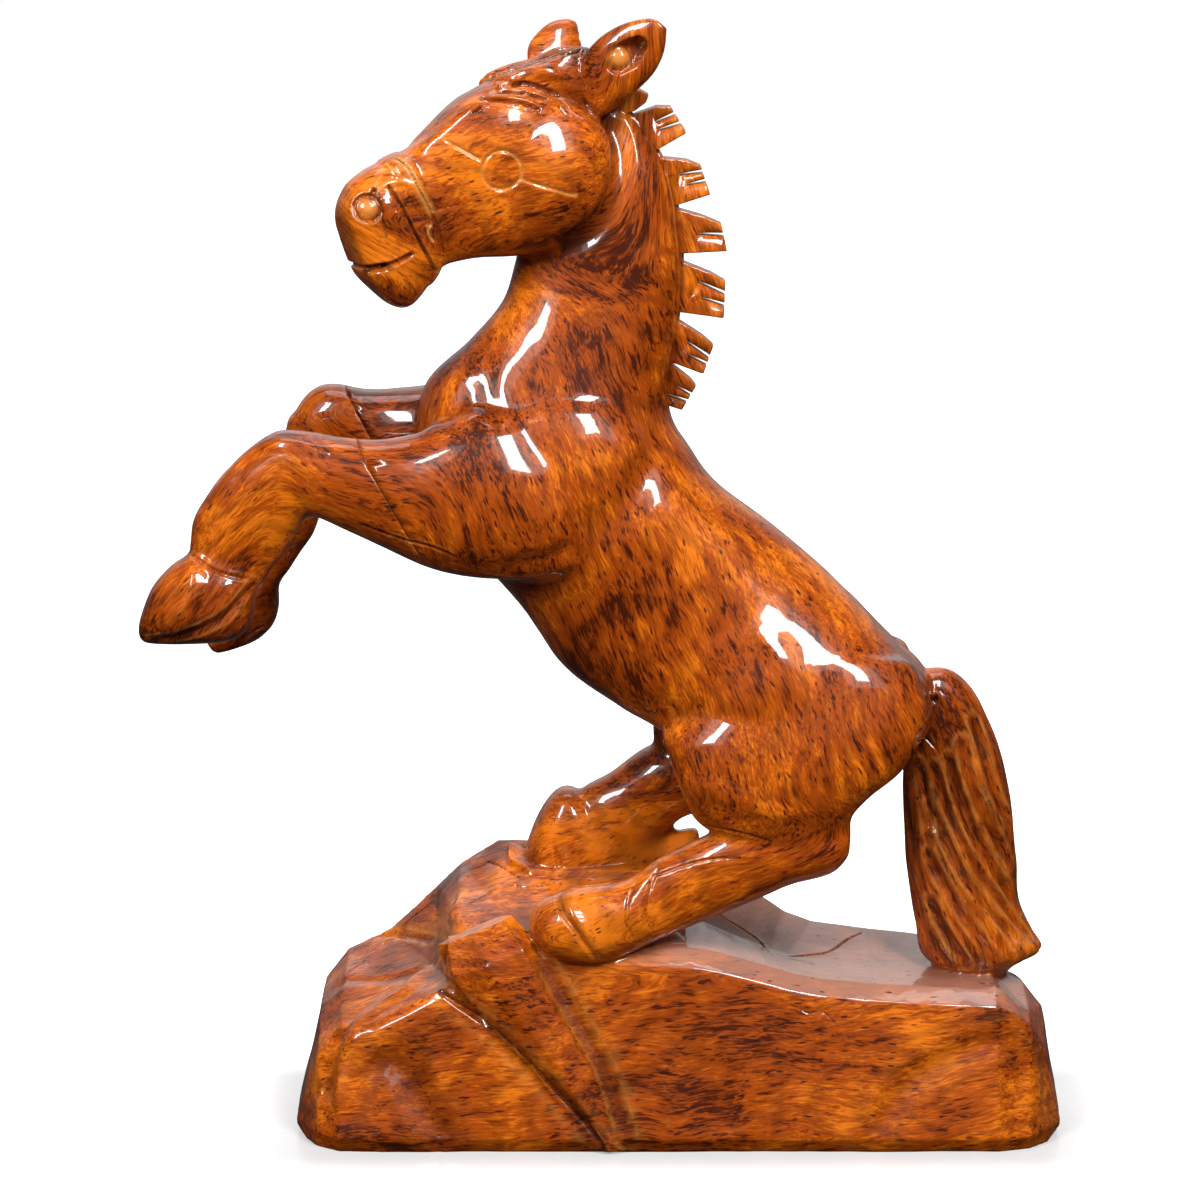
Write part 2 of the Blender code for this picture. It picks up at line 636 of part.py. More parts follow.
def seam_half(name, side, grow, collection):
    """A block that holds one foreleg beyond its seam, grown by a gap if need be."""
    shape = bmesh.new()
    top, foot = Vector(SEAM_TOP), Vector(SEAM_FOOT)
    along = (top - foot).normalized()
    out = Vector((-along.y, along.x))
    grow = grow / UNIT
    stations = NEAR_FORELEG + FAR_FORELEG + NEAR_FORE_HOOF + FAR_FORE_HOOF
    spots = [Vector(row[k:k + 2]) - foot for row in stations for k in (0, 2)]
    spots = [spot for spot in spots if spot.dot(out) > 0]
    reach = max(spot.dot(out) for spot in spots) + SEAM_CLEARANCE
    high = foot + along * (max(spot.dot(along) for spot in spots) + SEAM_CLEARANCE) - out * grow
    low = foot + along * (min(spot.dot(along) for spot in spots) - SEAM_CLEARANCE) - out * grow
    corners = (high, high + out * reach, low + out * reach, low)
    inner = side * (BREAST - grow)
    outer = side * (max(row[4] + abs(row[5]) for row in stations) + SEAM_CLEARANCE)
    rings = [[shape.verts.new(place(p.x, y, p.y)) for p in corners] for y in (inner, outer)]
    skin_rings(shape, rings)
    return hide_cutter(mesh_object(name, shape, collection))


def cut_by(target, cutter, operation, name, collection):
    """The target cut by a block, as a new object; the target stays."""
    copy = new_object(name + "_uncut", target.data.copy(), collection)
    boolean(copy, cutter, operation)
    return baked(copy, name, collection)


def wood(name):
    """Lacquered hardwood in one warm brown."""
    material = bpy.data.materials.new(name)
    material.use_nodes = True
    shader = material.node_tree.nodes["Principled BSDF"]
    shader.inputs["Base Color"].default_value = WOOD
    shader.inputs["Roughness"].default_value = 0.28
    shader.inputs["Metallic"].default_value = 0.0
    shader.inputs["Coat Weight"].default_value = 0.8
    return material


def carving_shapes(collection):
    """The horse's rounded forms, before they are blended."""
    made = [
        limb("trunk", TRUNK, collection, sides=24),
        limb("head", HEAD, collection, sides=24, to_world=turn_head),
        limb("near_thigh", NEAR_THIGH, collection),
        limb("near_cannon", NEAR_CANNON, collection),
        limb("far_thigh", FAR_THIGH, collection),
        limb("far_cannon", FAR_CANNON, collection),
        limb("far_hind_hoof", FAR_HIND_HOOF, collection, sides=16, steps=2),
        limb("near_arm", NEAR_FORELEG, collection),
        limb("far_arm", FAR_FORELEG, collection),
        limb("near_fore_hoof", NEAR_FORE_HOOF, collection),
        limb("far_fore_hoof", FAR_FORE_HOOF, collection),
    ]
    for k, (middle, halves, tilt) in enumerate(MUSCLES):
        made.append(egg("muscle_%d" % k, middle, halves, tilt, collection))
    for k, (middle, halves, tilt) in enumerate(CHEEKS):
        made.append(egg("cheek_%d" % k, middle, halves, tilt, collection, turn_head))
    return made


def main():
    for old in list(bpy.data.objects):
        bpy.data.objects.remove(old)
    model = bpy.data.collections.new("horse_sculpture")
    cutters = bpy.data.collections.new("cutters")
    bpy.context.scene.collection.children.link(model)
    bpy.context.scene.collection.children.link(cutters)

    figure = blended("figure", carving_shapes(model), model, BLEND_ROUNDS, FIGURE_TRIANGLES)
    for cutter in head_cutters(figure, cutters):
        boolean(figure, cutter, "DIFFERENCE")
    figure = baked(figure, "figure_carved", model)
    ears = [limb("near_ear", NEAR_EAR, model, sides=12, steps=2),
            limb("far_ear", FAR_EAR, model, sides=12, steps=2)]
    for ear, (middle, halves) in zip(ears, (NEAR_POCKET, FAR_POCKET)):
        pocket = hide_cutter(egg("ear_cutter", middle, halves, POCKET_TILT, cutters))
        boolean(ear, pocket, "DIFFERENCE")
    ears = [baked(ear, "ear", model) for ear in ears]

    body = cut_by(figure, seam_half("near_seam_cutter", -1, SEAM_GAP, cutters),
                  "DIFFERENCE", "body_less_one", model)
    boolean(body, seam_half("far_seam_cutter", 1, SEAM_GAP, cutters), "DIFFERENCE")
    body = baked(body, "body", model)
    legs = {}
    for name, side in (("left_foreleg", -1), ("right_foreleg", 1)):
        block = seam_half(name + "_cutter", side, 0.0, cutters)
        legs[name] = cut_by(figure, block, "INTERSECT", name, model)
    bpy.data.objects.remove(figure)

    crisp = ears + [rock(model), boulder("near_boulder", NEAR_BOULDER, model),
                    boulder("far_boulder", FAR_BOULDER, model), noseband(model)]
    crisp.append(limb("tail", TAIL, model, sides=TAIL_SIDES, steps=2, flutes=tail_flutes))
    crisp += forelock(model)
    crisp += [tuft(k, values, model) for k, values in enumerate(MANE_TUFTS)]
    horse = united("horse_on_rock", body, crisp, model)
    for name, node in [("horse_on_rock", horse)] + list(legs.items()):
        node.name = name
        node.data.materials.clear()
        node.data.materials.append(wood(name + "_wood"))


main()
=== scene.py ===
"""A hardwood horse rearing on a rock, carved and under thick clear lacquer.

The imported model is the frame. The carving is built again on the same stations,
with its cut lines, tool marks and grain, and each part stands where its solid is.
"""
import math

import bmesh
import bpy
import numpy as np
from mathutils import Matrix, Vector
from mathutils.bvhtree import BVHTree


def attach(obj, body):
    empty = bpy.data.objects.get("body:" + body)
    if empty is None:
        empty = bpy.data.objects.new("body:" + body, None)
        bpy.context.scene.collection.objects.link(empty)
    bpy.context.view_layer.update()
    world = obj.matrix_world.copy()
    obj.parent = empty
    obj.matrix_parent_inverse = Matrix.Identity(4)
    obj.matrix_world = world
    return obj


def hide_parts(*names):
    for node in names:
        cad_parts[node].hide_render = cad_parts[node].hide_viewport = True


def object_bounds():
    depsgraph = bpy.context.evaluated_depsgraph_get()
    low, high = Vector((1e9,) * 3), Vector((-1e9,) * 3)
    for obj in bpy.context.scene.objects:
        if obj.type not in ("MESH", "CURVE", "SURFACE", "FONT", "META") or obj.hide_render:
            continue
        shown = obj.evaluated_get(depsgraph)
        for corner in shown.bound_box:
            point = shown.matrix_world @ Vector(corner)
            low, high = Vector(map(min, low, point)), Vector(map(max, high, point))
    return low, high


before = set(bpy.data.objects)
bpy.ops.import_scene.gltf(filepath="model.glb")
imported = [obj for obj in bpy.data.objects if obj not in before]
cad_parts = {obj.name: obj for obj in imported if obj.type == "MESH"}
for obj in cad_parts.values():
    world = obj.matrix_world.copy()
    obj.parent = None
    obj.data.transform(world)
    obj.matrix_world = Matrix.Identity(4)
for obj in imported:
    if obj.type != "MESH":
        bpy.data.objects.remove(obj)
LOW, HIGH = [Vector(corner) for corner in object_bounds()]

bl_info = {
    "name": "Rearing Horse Carving",
    "version": (1, 0, 0),
    "blender": (4, 5, 0),
    "location": "View3D > Sidebar > Carving",
    "description": "A hardwood horse rearing on a rock, with its cut lines, grain and lacquer",
    "category": "Object",
}

# The horse's own unit: its rise above the rock's top is 342 of them, and the ground is at zero
BASE_SHARE = 0.145
HEIGHT = HIGH.z - LOW.z
BASE_HEIGHT = HEIGHT * BASE_SHARE
UNIT = (HEIGHT - BASE_HEIGHT) / 342.0
GROUND_LEVEL = -58.0
BASE_LENGTH = 0.275
BASE_DEPTH = 0.100
HEAD_TURN = math.radians(22.0)
POLL = (-28.0, 356.0)

# A station is (top x, top z, bottom x, bottom z, half width, middle y, squareness), in horse units
TRUNK = (
    (-40, 343, -20, 360, 8, 0, 2.0),
    (-51, 335, -18, 367, 14, 0, 2.1),
    (-58, 314, -4, 347, 16, 0, 2.2),
    (-63, 299, 1, 322, 17.5, 0, 2.2),
    (-75, 285, 1, 299, 20, 0, 2.2),
    (-92, 267, -4, 263, 27, 0, 2.2),
    (-91, 238, 4, 246, 32, 0, 2.3),
    (-75, 211, 13, 234, 34, 0, 2.3),
    (-58, 191, 29, 222, 33, 0, 2.2),
    (-42, 168, 47, 207, 33, 0, 2.2),
    (-24, 155, 62, 193, 35, 0, 2.4),
    (-5, 144, 76, 178, 38, 0, 2.6),
    (15, 128, 89.5, 164.5, 38, 0, 2.7),
    (45, 121, 91, 146, 32, 0, 2.6),
)
NEAR_THIGH = (
    (30, 186, 72, 175, 10, -18, 2.0),
    (14, 174, 83, 172, 14, -21, 2.1),
    (-5, 151, 88, 154, 17, -24, 2.3),
    (-4, 140, 81, 137, 18, -26, 2.4),
    (1, 126, 68, 126, 16, -28, 2.4),
    (8, 115, 61, 118, 13, -29, 2.4),
    (29, 106, 61, 111, 10, -29, 2.2),
    (44, 100, 60, 104, 6, -29, 2.0),
)
NEAR_CANNON = (
    (61, 115, 60, 104, 7, -29, 2.0),
    (50, 116, 54, 98, 11, -29, 2.2),
    (22, 115, 39, 94, 12, -29, 2.4),
    (8, 111, 28, 89, 11, -29, 2.6),
    (-8, 103, 10, 81, 10, -29, 2.4),
    (-17, 96, -4, 75, 11, -29, 2.4),
    (-24, 94, -14, 71, 13, -29, 2.4),
    (-37, 93, -24, 66, 15, -29, 2.4),
    (-45, 90, -36, 65, 15, -29, 2.4),
    (-51, 87, -48, 68, 12, -29, 2.2),
    (-54, 82, -53, 74, 6, -29, 2.0),
)
FAR_HIND_HOOF = (
    (8, 102, 8, 70, 8, 28, 2.6),
    (-12, 99, -12, 70, 11, 28, 2.8),
    (-28, 106, -28, 70, 13, 28, 3.0),
    (-37, 116, -37, 70, 14, 28, 3.0),
    (-44, 116, -46, 70, 14, 28, 2.8),
    (-51, 107, -53, 70, 12, 28, 2.4),
    (-56, 94, -57, 70, 7, 28, 2.0),
)
FAR_THIGH = (
    (30, 186, 72, 175, 10, 18, 2.0),
    (14, 174, 83, 172, 14, 21, 2.1),
    (-6, 154, 86, 156, 17, 24, 2.3),
    (-9, 142, 80, 142, 18, 26, 2.4),
    (-6, 130, 68, 132, 16, 28, 2.3),
    (16, 120, 62, 123, 12, 28, 2.4),
    (40, 108, 60, 112, 7, 28, 2.0),
)
FAR_CANNON = (
    (61, 124, 60, 110, 7, 28, 2.0),
    (46, 132, 50, 108, 11, 28, 2.2),
    (20, 136, 30, 111, 13, 28, 2.2),
    (-8, 133, 5, 107, 13, 28, 2.3),
    (-25, 122, -5, 99, 12, 28, 2.3),
    (-34, 117, -12, 92, 12, 28, 2.4),
    (-38, 110, -21, 88, 10, 28, 2.2),
)
NEAR_FORELEG = (
    (-52, 264, -24, 214, 15, -20, 2.0),
    (-72, 264, -36, 205, 19, -23, 2.2),
    (-90, 256, -60, 203, 19, -25, 2.3),
    (-104, 253, -83, 206, 17, -26, 2.3),
    (-120, 254, -103, 214, 15, -26, 2.4),
    (-133, 256, -120, 222, 13.5, -26, 2.5),
    (-142, 256, -129, 226, 12.5, -26, 2.5),
    (-149, 251, -132, 225, 12, -26, 2.4),
    (-161, 241, -136, 219, 11, -26, 2.3),
    (-171, 226, -139, 213, 9.5, -26, 2.2),
    (-173, 215, -144, 207, 9, -26, 2.1),
)
FAR_FORELEG = (
    (-52, 270, -20, 222, 15, 20, 2.0),
    (-74, 268, -40, 222, 18, 23, 2.2),
    (-96, 265, -64, 222, 18, 25, 2.3),
    (-112, 264, -90, 226, 15.5, 26, 2.3),
    (-124, 266, -106, 232, 14, 26, 2.4),
    (-132, 264, -119, 237, 12.5, 26, 2.5),
    (-139, 255, -123, 236, 12, 26, 2.5),
    (-149, 234, -128, 223, 10.5, 26, 2.3),
    (-155, 217, -132, 211, 9, 26, 2.2),
    (-160, 207, -136, 206, 8.5, 26, 2.1),
)
NEAR_FORE_HOOF = (
    (-170, 222, -142, 212, 7, -26, 2.0),
    (-173, 213, -146, 203, 9.5, -26, 2.2),
    (-180, 208, -149, 201, 12.5, -26, 2.4),
    (-186, 201, -150, 194, 14, -26, 2.4),
    (-189.8, 192, -151, 188, 14, -26, 2.3),
    (-191.8, 184, -155, 183, 11, -26, 2.1),
    (-190, 180, -160, 181, 5, -26, 2.0),
)
FAR_FORE_HOOF = (
    (-158, 214, -134, 208, 7, 26, 2.0),
    (-161, 200, -141, 198, 9, 26, 2.2),
    (-165, 190, -145, 193, 12, 26, 2.4),
    (-169, 182, -145, 185, 13, 26, 2.5),
    (-172, 173, -147, 178, 12, 26, 2.5),
    (-169, 167, -152, 173, 9, 26, 2.3),
)
TAIL = (
    (76, 158, 86, 166, 6, 0, 2.0),
    (80, 150, 97, 166, 9, 0, 2.0),
    (81, 139, 106, 158, 11, 0, 2.0),
    (81, 126, 115, 139, 12.5, 0, 2.0),
    (81, 111, 120, 117, 13.5, 0, 2.0),
    (82, 97, 122, 97, 14, 0, 2.0),
    (84, 81, 123, 82, 14, 0, 2.0),
    (86, 70, 128, 71, 15, 0, 2.0),
    (88, 62, 132, 63, 15, 0, 2.0),
    (94, 55, 122, 57, 12, 0, 2.0),
    (94, 48, 114, 48, 10, 0, 2.0),
)
# The head's stations run from the poll to the lips, before it is turned: x and z start at the poll
HEAD = (
    (12, 6, 6, -26, 9, 0, 2.0),
    (2, 14, -2, -33, 14, 0, 2.2),
    (-12, 19, -10, -38, 17, 0, 2.3),
    (-24, 23, -20, -40, 18, 0, 2.6),
    (-38, 22.5, -32, -40, 18, 0, 2.8),
    (-50, 17, -45, -40, 16, 0, 3.0),
    (-60, 9, -55, -41, 13.5, 0, 3.0),
    (-68, 2, -62, -43, 12, 0, 3.0),
    (-76, -3, -67, -50, 11.5, 0, 2.9),
    (-86, -7, -73, -56, 13, 0, 2.9),
    (-93.5, -12, -79, -55.5, 12.5, 0, 3.0),
    (-96.5, -17.5, -85.5, -50, 11.5, 0, 3.0),
    (-98, -22.5, -90.5, -45, 9.5, 0, 2.8),
)
# The ears' stations run from root to tip, in horse units
NEAR_EAR = (
    (-37, 377, -27, 361, 4.5, -12, 2.0),
    (-34, 386, -26, 365, 5.0, -14, 2.2),
    (-28, 393, -18, 372, 5.0, -16, 2.4),
    (-20, 398, -10, 380, 4.2, -18, 2.4),
    (-12, 400, -6, 388, 3.2, -20, 2.2),
    (-8, 399, -5, 396, 1.6, -21, 2.0),
)
FAR_EAR = (
    (-50, 368, -38, 360, 5.0, 3, 2.0),
    (-53, 378, -39, 365, 5.0, 9, 2.1),
    (-54, 387, -38, 370, 5.0, 13, 2.2),
    (-51, 392, -36, 376, 5.0, 16, 2.4),
    (-46, 396, -35, 384, 4.2, 18, 2.4),
    (-40, 397, -35, 390, 3.2, 20, 2.2),
    (-37, 396, -36, 393, 1.6, 21, 2.0),
)
# Muscles and cheeks are egg shapes: middle, half sizes and tilt about Y in degrees
MUSCLES = (
    ((-48, -20, 236), (40, 17, 32), -25),
    ((-48, 20, 238), (40, 17, 32), -25),
    ((33, -17, 158), (50, 23, 33), 38),
    ((33, 17, 158), (50, 23, 33), 38),
)
CHEEKS = (
    ((-19, -9, -11), (25, 14, 25), 0),
    ((-19, 9, -11), (25, 14, 25), 0),
)
# Each tuft of the mane is (top of the root, brow, top of the tip, foot of the tip, notch, slots),
# and each slot is (its share of the way down the tip, its end)
MANE_TUFTS = (
    ((-19.9, 370.2), (-15, 374), (-11.2, 371.9), (-12.2, 369.2), (-16.1, 366.4), ()),
    ((-15.6, 365.3), (-8.4, 367.9), (-3.7, 367.8), (2.0, 358.5), (-8.5, 352.5),
     ((0.27, (-9.0, 362.4)), (0.62, (-8.0, 359.6)))),
    ((-7.3, 349.9), (2.0, 349.0), (7.0, 347.1), (10.5, 336.8), (-1.2, 333.2),
     ((0.20, (-0.6, 343.9)), (0.52, (2.3, 340.4)))),
    ((-1.5, 332.0), (7.9, 329.3), (14.4, 326.6), (16.5, 316.8), (0.9, 316.1), ((0.40, (5.9, 323.1)),)),
    ((1.2, 313.0), (10.9, 309.1), (16.0, 306.2), (15.5, 293.0), (-0.2, 295.3),
     ((0.32, (6.5, 306.1)), (0.63, (7.2, 300.5)))),
    ((-0.9, 292.5), (8.0, 286.8), (11.9, 283.4), (8.3, 273.1), (-4.0, 277.8),
     ((0.40, (2.5, 284.7)), (0.64, (3.4, 279.8)))),
    ((-4.2, 277.8), (3.7, 271.4), (5.8, 268.9), (0.7, 260.2), (-4.4, 262.0),
     ((0.35, (-1.0, 268.8)), (0.62, (-3.9, 265.8)))),
)
# The forelock's strands run forward over the poll, on the straight head
FORELOCK = (
    (4, 16, 6, 6, 4, 0, 2.0),
    (-4, 31, 0, 8, 6, 0, 2.2),
    (-12, 32.5, -12, 10, 7, 0, 2.2),
    (-22, 29.5, -22, 12, 6, 0, 2.2),
    (-32, 26, -32, 14, 4, 0, 2.0),
    (-42, 21.5, -42, 16, 2, 0, 2.0),
)
# The forelock's strands: how many, how far apart in horse units, their width and how far they wave
STRANDS = 5
STRAND_STEP = 4.0
STRAND_WIDTH = 0.72
STRAND_WAVE = 0.9
# The pocket in the near ear, seen from the side, its middle, the middle of the ball in it,
# and its depths across the ear with the pocket's growth at each
POCKET = ((-26.6, 381.9), (-25.9, 385.6), (-25.4, 388.2), (-21.8, 391.1), (-18.1, 392.6), (-14.5, 393.3),
          (-12.5, 391.8), (-12.2, 389.9), (-13.7, 386.5), (-15.4, 383.2), (-18.6, 381.2), (-21.8, 379.7),
          (-24.2, 379.9))
POCKET_MIDDLE = (-19.6, 386.0)
POCKET_BALL = (-21.8, 385.6)
POCKET_DEPTHS = ((-28.0, 1.12), (-21.0, 1.0), (-17.6, 0.66))
FAR_EAR_SHIFT = (-21.0, 1.0)
# The seam across each forearm, seen from the side, and how far apart the forelegs are
SEAM_TOP = (-113.0, 252.0)
SEAM_FOOT = (-89.0, 209.0)
SEAM_CLEARANCE = 5.0
BREAST = 3.0
MANE_ROOT_DEPTH = 12.0
MANE_THINNING = 0.03
SLOT_OVERRUN = 3.0
TAIL_SWEEP = 2.0
# The rock's sections: (x; near foot y; near edge y, z; middle y, z; far edge y, z; far foot y).
# x is a share of half the base's length, y of half its depth, and z of its height.
ROCK = (
    (-1.00, -0.40, -0.32, 0.12, 0.00, 0.18, 0.36, 0.14, 0.44),
    (-0.97, -0.62, -0.46, 0.34, -0.06, 0.44, 0.52, 0.42, 0.66),
    (-0.94, -0.80, -0.64, 0.56, -0.10, 0.74, 0.60, 0.78, 0.78),
    (-0.88, -0.95, -0.76, 0.68, -0.15, 0.86, 0.63, 0.96, 0.86),
    (-0.77, -0.97, -0.80, 0.80, -0.20, 0.91, 0.66, 1.08, 0.92),
    (-0.64, -0.97, -0.80, 0.96, -0.24, 1.02, 0.74, 1.35, 0.96),
    (-0.58, -0.97, -0.80, 1.03, -0.20, 1.32, 0.78, 1.49, 1.00),
    (-0.48, -0.97, -0.80, 1.22, -0.10, 1.38, 0.84, 1.63, 1.00),
    (-0.34, -0.97, -0.80, 1.28, -0.05, 1.42, 0.86, 1.65, 1.00),
    (-0.10, -0.97, -0.80, 1.24, 0.00, 1.38, 0.88, 1.65, 1.00),
    (0.02, -0.97, -0.80, 1.22, 0.00, 1.30, 0.88, 1.62, 1.00),
    (0.12, -0.97, -0.80, 1.18, 0.00, 1.20, 0.88, 1.45, 1.00),
    (0.24, -0.97, -0.80, 1.10, 0.00, 1.08, 0.88, 1.27, 1.00),
    (0.36, -0.97, -0.80, 1.03, 0.00, 1.02, 0.88, 1.12, 1.00),
    (0.65, -0.97, -0.80, 0.97, 0.00, 0.98, 0.88, 1.035, 1.00),
    (0.82, -0.97, -0.80, 0.96, 0.00, 0.96, 0.84, 0.88, 1.00),
    (0.91, -0.88, -0.70, 0.80, 0.00, 0.88, 0.70, 0.80, 0.88),
    (0.96, -0.70, -0.52, 0.56, 0.00, 0.72, 0.50, 0.62, 0.70),
    (1.00, -0.44, -0.34, 0.14, 0.00, 0.22, 0.34, 0.16, 0.44),
)
# The rock is worn smooth between these shares of its half length
WORN_FROM = -0.34
WORN_TO = 0.82
ROCK_STEPS = 2
# The rock's upper edges as shares of their depth and height, crisp and worn round,
# then how far in its foot starts and the height of that foot
CRISP_EDGE = ((1.0, 0.95), (0.975, 0.975), (0.95, 1.0))
WORN_EDGE = ((1.0, 0.74), (0.94, 0.92), (0.76, 1.0))
FOOT_EDGE = 0.95
ROCK_FOOT = 0.09
# Faceted swellings of the rock, as limb stations in horse units
NEAR_BOULDER = (
    (-86, 72, -60, 83, 6, -30, 2.4),
    (-84, 61, -52, 75, 15, -31, 2.8),
    (-71, 44, -41, 52, 15, -33, 2.8),
    (-57, 31, -30, 33, 14, -35, 2.8),
    (-44, 16, -24, 18, 14, -36, 2.8),
    (-32, 1, -18, 1, 13, -37, 3.0),
)
FAR_BOULDER = (
    (-62, 96, -60, 60, 12, 30, 3.0),
    (-54, 92, -54, 60, 17, 26, 3.4),
    (-12, 92, -12, 60, 17, 26, 3.4),
    (8, 86, 8, 60, 13, 28, 3.0),
)

# Cut lines: (half width, depth, finish, sides, points). A depth below zero is a raised line.
# Pale lines are painted pale, partly as a painted highlight on their rims and ridges; dark lines are painted dark, as
# painted shade in their grooves; a keen V gets a painted highlight on its rims and painted shade in its valley, and a
# keen ridge a painted highlight on its crest; and a shade line is painted shade alone, without a cut.
# On the head the points are x and z on the straight head, on the body x and z,
# and on the rock's top x and y, all in horse units. Sides are -1 near, 1 far.
BOTH = (-1, 1)
HEAD_LINES = (
    (0.8, 0.8, "pale", BOTH, ((-62, 2.2), (-56, -1.4), (-50.3, -4.9))),
    (0.8, 0.8, "pale", BOTH, ((-37.4, -11.4), (-28.7, -14.2), (-18.6, -17.3))),
    (1.0, 2.2, "dark", BOTH, ((-37.1, 20.4), (-33.2, 21.0), (-28.9, 20.2), (-25.0, 18.5), (-21.0, 16.7))),
    (0.75, 1.8, "dark", BOTH, ((-41.0, 18.3), (-36.0, 18.0), (-32.4, 17.9))),
    (0.8, 1.8, "dark", BOTH, ((-31.2, 17.3), (-28.2, 16.3), (-25.7, 15.2))),
    (1.1, 2.3, "dark", BOTH, ((-48.8, 15.8), (-43.5, 15.8), (-38.2, 15.0), (-34.0, 14.2), (-29.0, 11.8))),
    (0.8, 1.4, "dark", BOTH, ((-52.3, 11.1), (-49.2, 13.1))),
    (0.45, 0.6, "dark", BOTH, ((-21.8, 13.2), (-19.0, 9.3))),
    (1.9, -1.0, "plain", BOTH, ((-53.3, 16.9), (-46.2, 20.4), (-38.1, 23.1), (-32.0, 24.9), (-24.8, 25.0),
     (-19.2, 22.5))),
    (1.0, 2.4, "dark", BOTH, ((-75.2, -36.1), (-81.6, -39.2), (-89.5, -41.2))),
    (1.9, 3.4, "dark", BOTH, ((-84, -40.4), (-89.5, -41.6), (-93.5, -42.6), (-98, -44.0))),
    (3.0, -1.1, "plain", BOTH, ((-86.6, -15.6), (-81.0, -22.4), (-76.4, -31.2), (-72.4, -38.4), (-69.6, -43.0))),
    (0.8, 1.7, "dark", BOTH, ((-83.3, -12.6), (-78.2, -21.3), (-73.5, -30.5), (-69.6, -37.4), (-66.8, -42.1))),
    (0.5, 0.6, "plain", BOTH, ((-77.8, -11.6), (-75.0, -19.1), (-71.1, -24.6), (-69.5, -26.9))),
    (1.6, -0.5, "pale", BOTH, ((-80.2, -2.6), (-75.9, -6.8), (-72.4, -14.3), (-68.4, -21.6))),
    (0.5, 1.1, "dark", BOTH, ((-80.2, -2.6), (-75.9, -6.8), (-72.4, -14.3), (-68.4, -21.6), (-65.3, -28.4),
     (-63.3, -35.4))),
    (0.55, 0.6, "pale", BOTH, ((-82.5, -4.6), (-79.0, -8.8))),
    (0.8, -0.5, "pale", BOTH, ((-86.8, -14.2), (-83.3, -12.0), (-77.8, -11.4), (-73.8, -13.6))),
    (0.5, 0.5, "pale", BOTH, ((-69.9, -26.9), (-68.3, -26.2), (-69.5, -28.0), (-69.0, -30.4), (-67.6, -32.2))),
    (0.35, 0.35, "dark", (-1,), ((-68.6, -21.7), (-63, -20.6), (-58.4, -19.4))),
    (0.35, 0.35, "dark", (-1,), ((-38, -26), (-31, -24), (-27, -24.4), (-20, -21.6))),
    (2.4, -0.9, "plain", BOTH, ((-70, -1), (-63.0, 3.9), (-54.6, 11), (-46.2, 17))),
    (3.6, 3.8, "plain", BOTH, ((-22, -36), (-12, -31), (-3.5, -20), (0.5, -8.4), (0.5, 3), (-4, 10))),
    (1.2, 1.8, "dark", BOTH, ((-89.4, -16.9), (-88.0, -13.7))),
    (0.45, 0.8, "dark", BOTH, ((-87.2, -14.9), (-85.9, -20.0), (-85.8, -24.3), (-84.8, -29.8))),
    (0.4, 0.4, "pale", BOTH, ((-85.4, -9.6), (-87.4, -13.2))),
    (3.2, 0.0, "pale", BOTH, ((-90.9, -20.2), (-90.7, -20.2))),
)
# Lines across the forelock, as x and y on the straight head, cut from above
CROWN_LINES = (
    (1.1, 2.0, "dark", ((-9.5, -8.2), (-16, -8.6), (-20.6, -4))),
    (0.9, 1.5, "dark", ((-5, -5.0), (-12, -5.4), (-22, -3.4), (-33, -4.6), (-40, -3))),
    (0.9, 1.5, "dark", ((-4, -1.2), (-14, -2.2), (-24, 0.6), (-34, -1.0), (-42, 0.4))),
    (0.9, 1.5, "dark", ((-3, 3.0), (-13, 2.0), (-24, 4.2), (-33, 2.6), (-41, 3.2))),
    (0.9, 1.5, "dark", ((-3, 7.0), (-12, 6.6), (-22, 8.0), (-32, 6.2))),
    (1.1, 2.0, "dark", ((-8, 11), (-16, 10.4), (-25, 10.2))),
)
# The curves that part the tail's strands, seen from the side, in horse units
TAIL_STRANDS = (
    ((89.5, 119.5), (93.3, 111.3), (97.8, 102.3), (103.1, 92.5), (109.0, 85.0), (114.3, 78.2), (120.3, 70.6),
     (124.0, 63.8)),
    ((91.6, 133.0), (93.9, 122.5), (97.7, 112.0), (102.9, 102.3), (108.2, 93.3), (114.2, 85.0), (120.9, 76.7),
     (128.4, 66.9)),
    ((96.6, 136.0), (99.0, 125.5), (102.8, 115.0), (107.3, 105.3), (112.5, 96.3), (117.8, 88.0), (123.1, 79.7)),
    ((100.9, 141.9), (103.3, 131.5), (107.1, 121.0), (111.6, 111.3), (116.1, 103.0), (119.9, 96.3)),
    ((105.2, 149.4), (108.3, 140.4), (111.3, 130.0), (115.1, 119.5), (118.2, 112.0)),
    ((89.8, 100.8), (93.5, 92.5), (98.0, 85.0), (103.3, 77.4), (109.2, 69.1), (113.8, 61.6)),
    ((90.7, 83.5), (93.7, 75.9), (98.2, 68.4), (103.5, 60.8)),
    ((85.7, 133.0), (87.7, 121.0), (89.7, 108.3)),
)
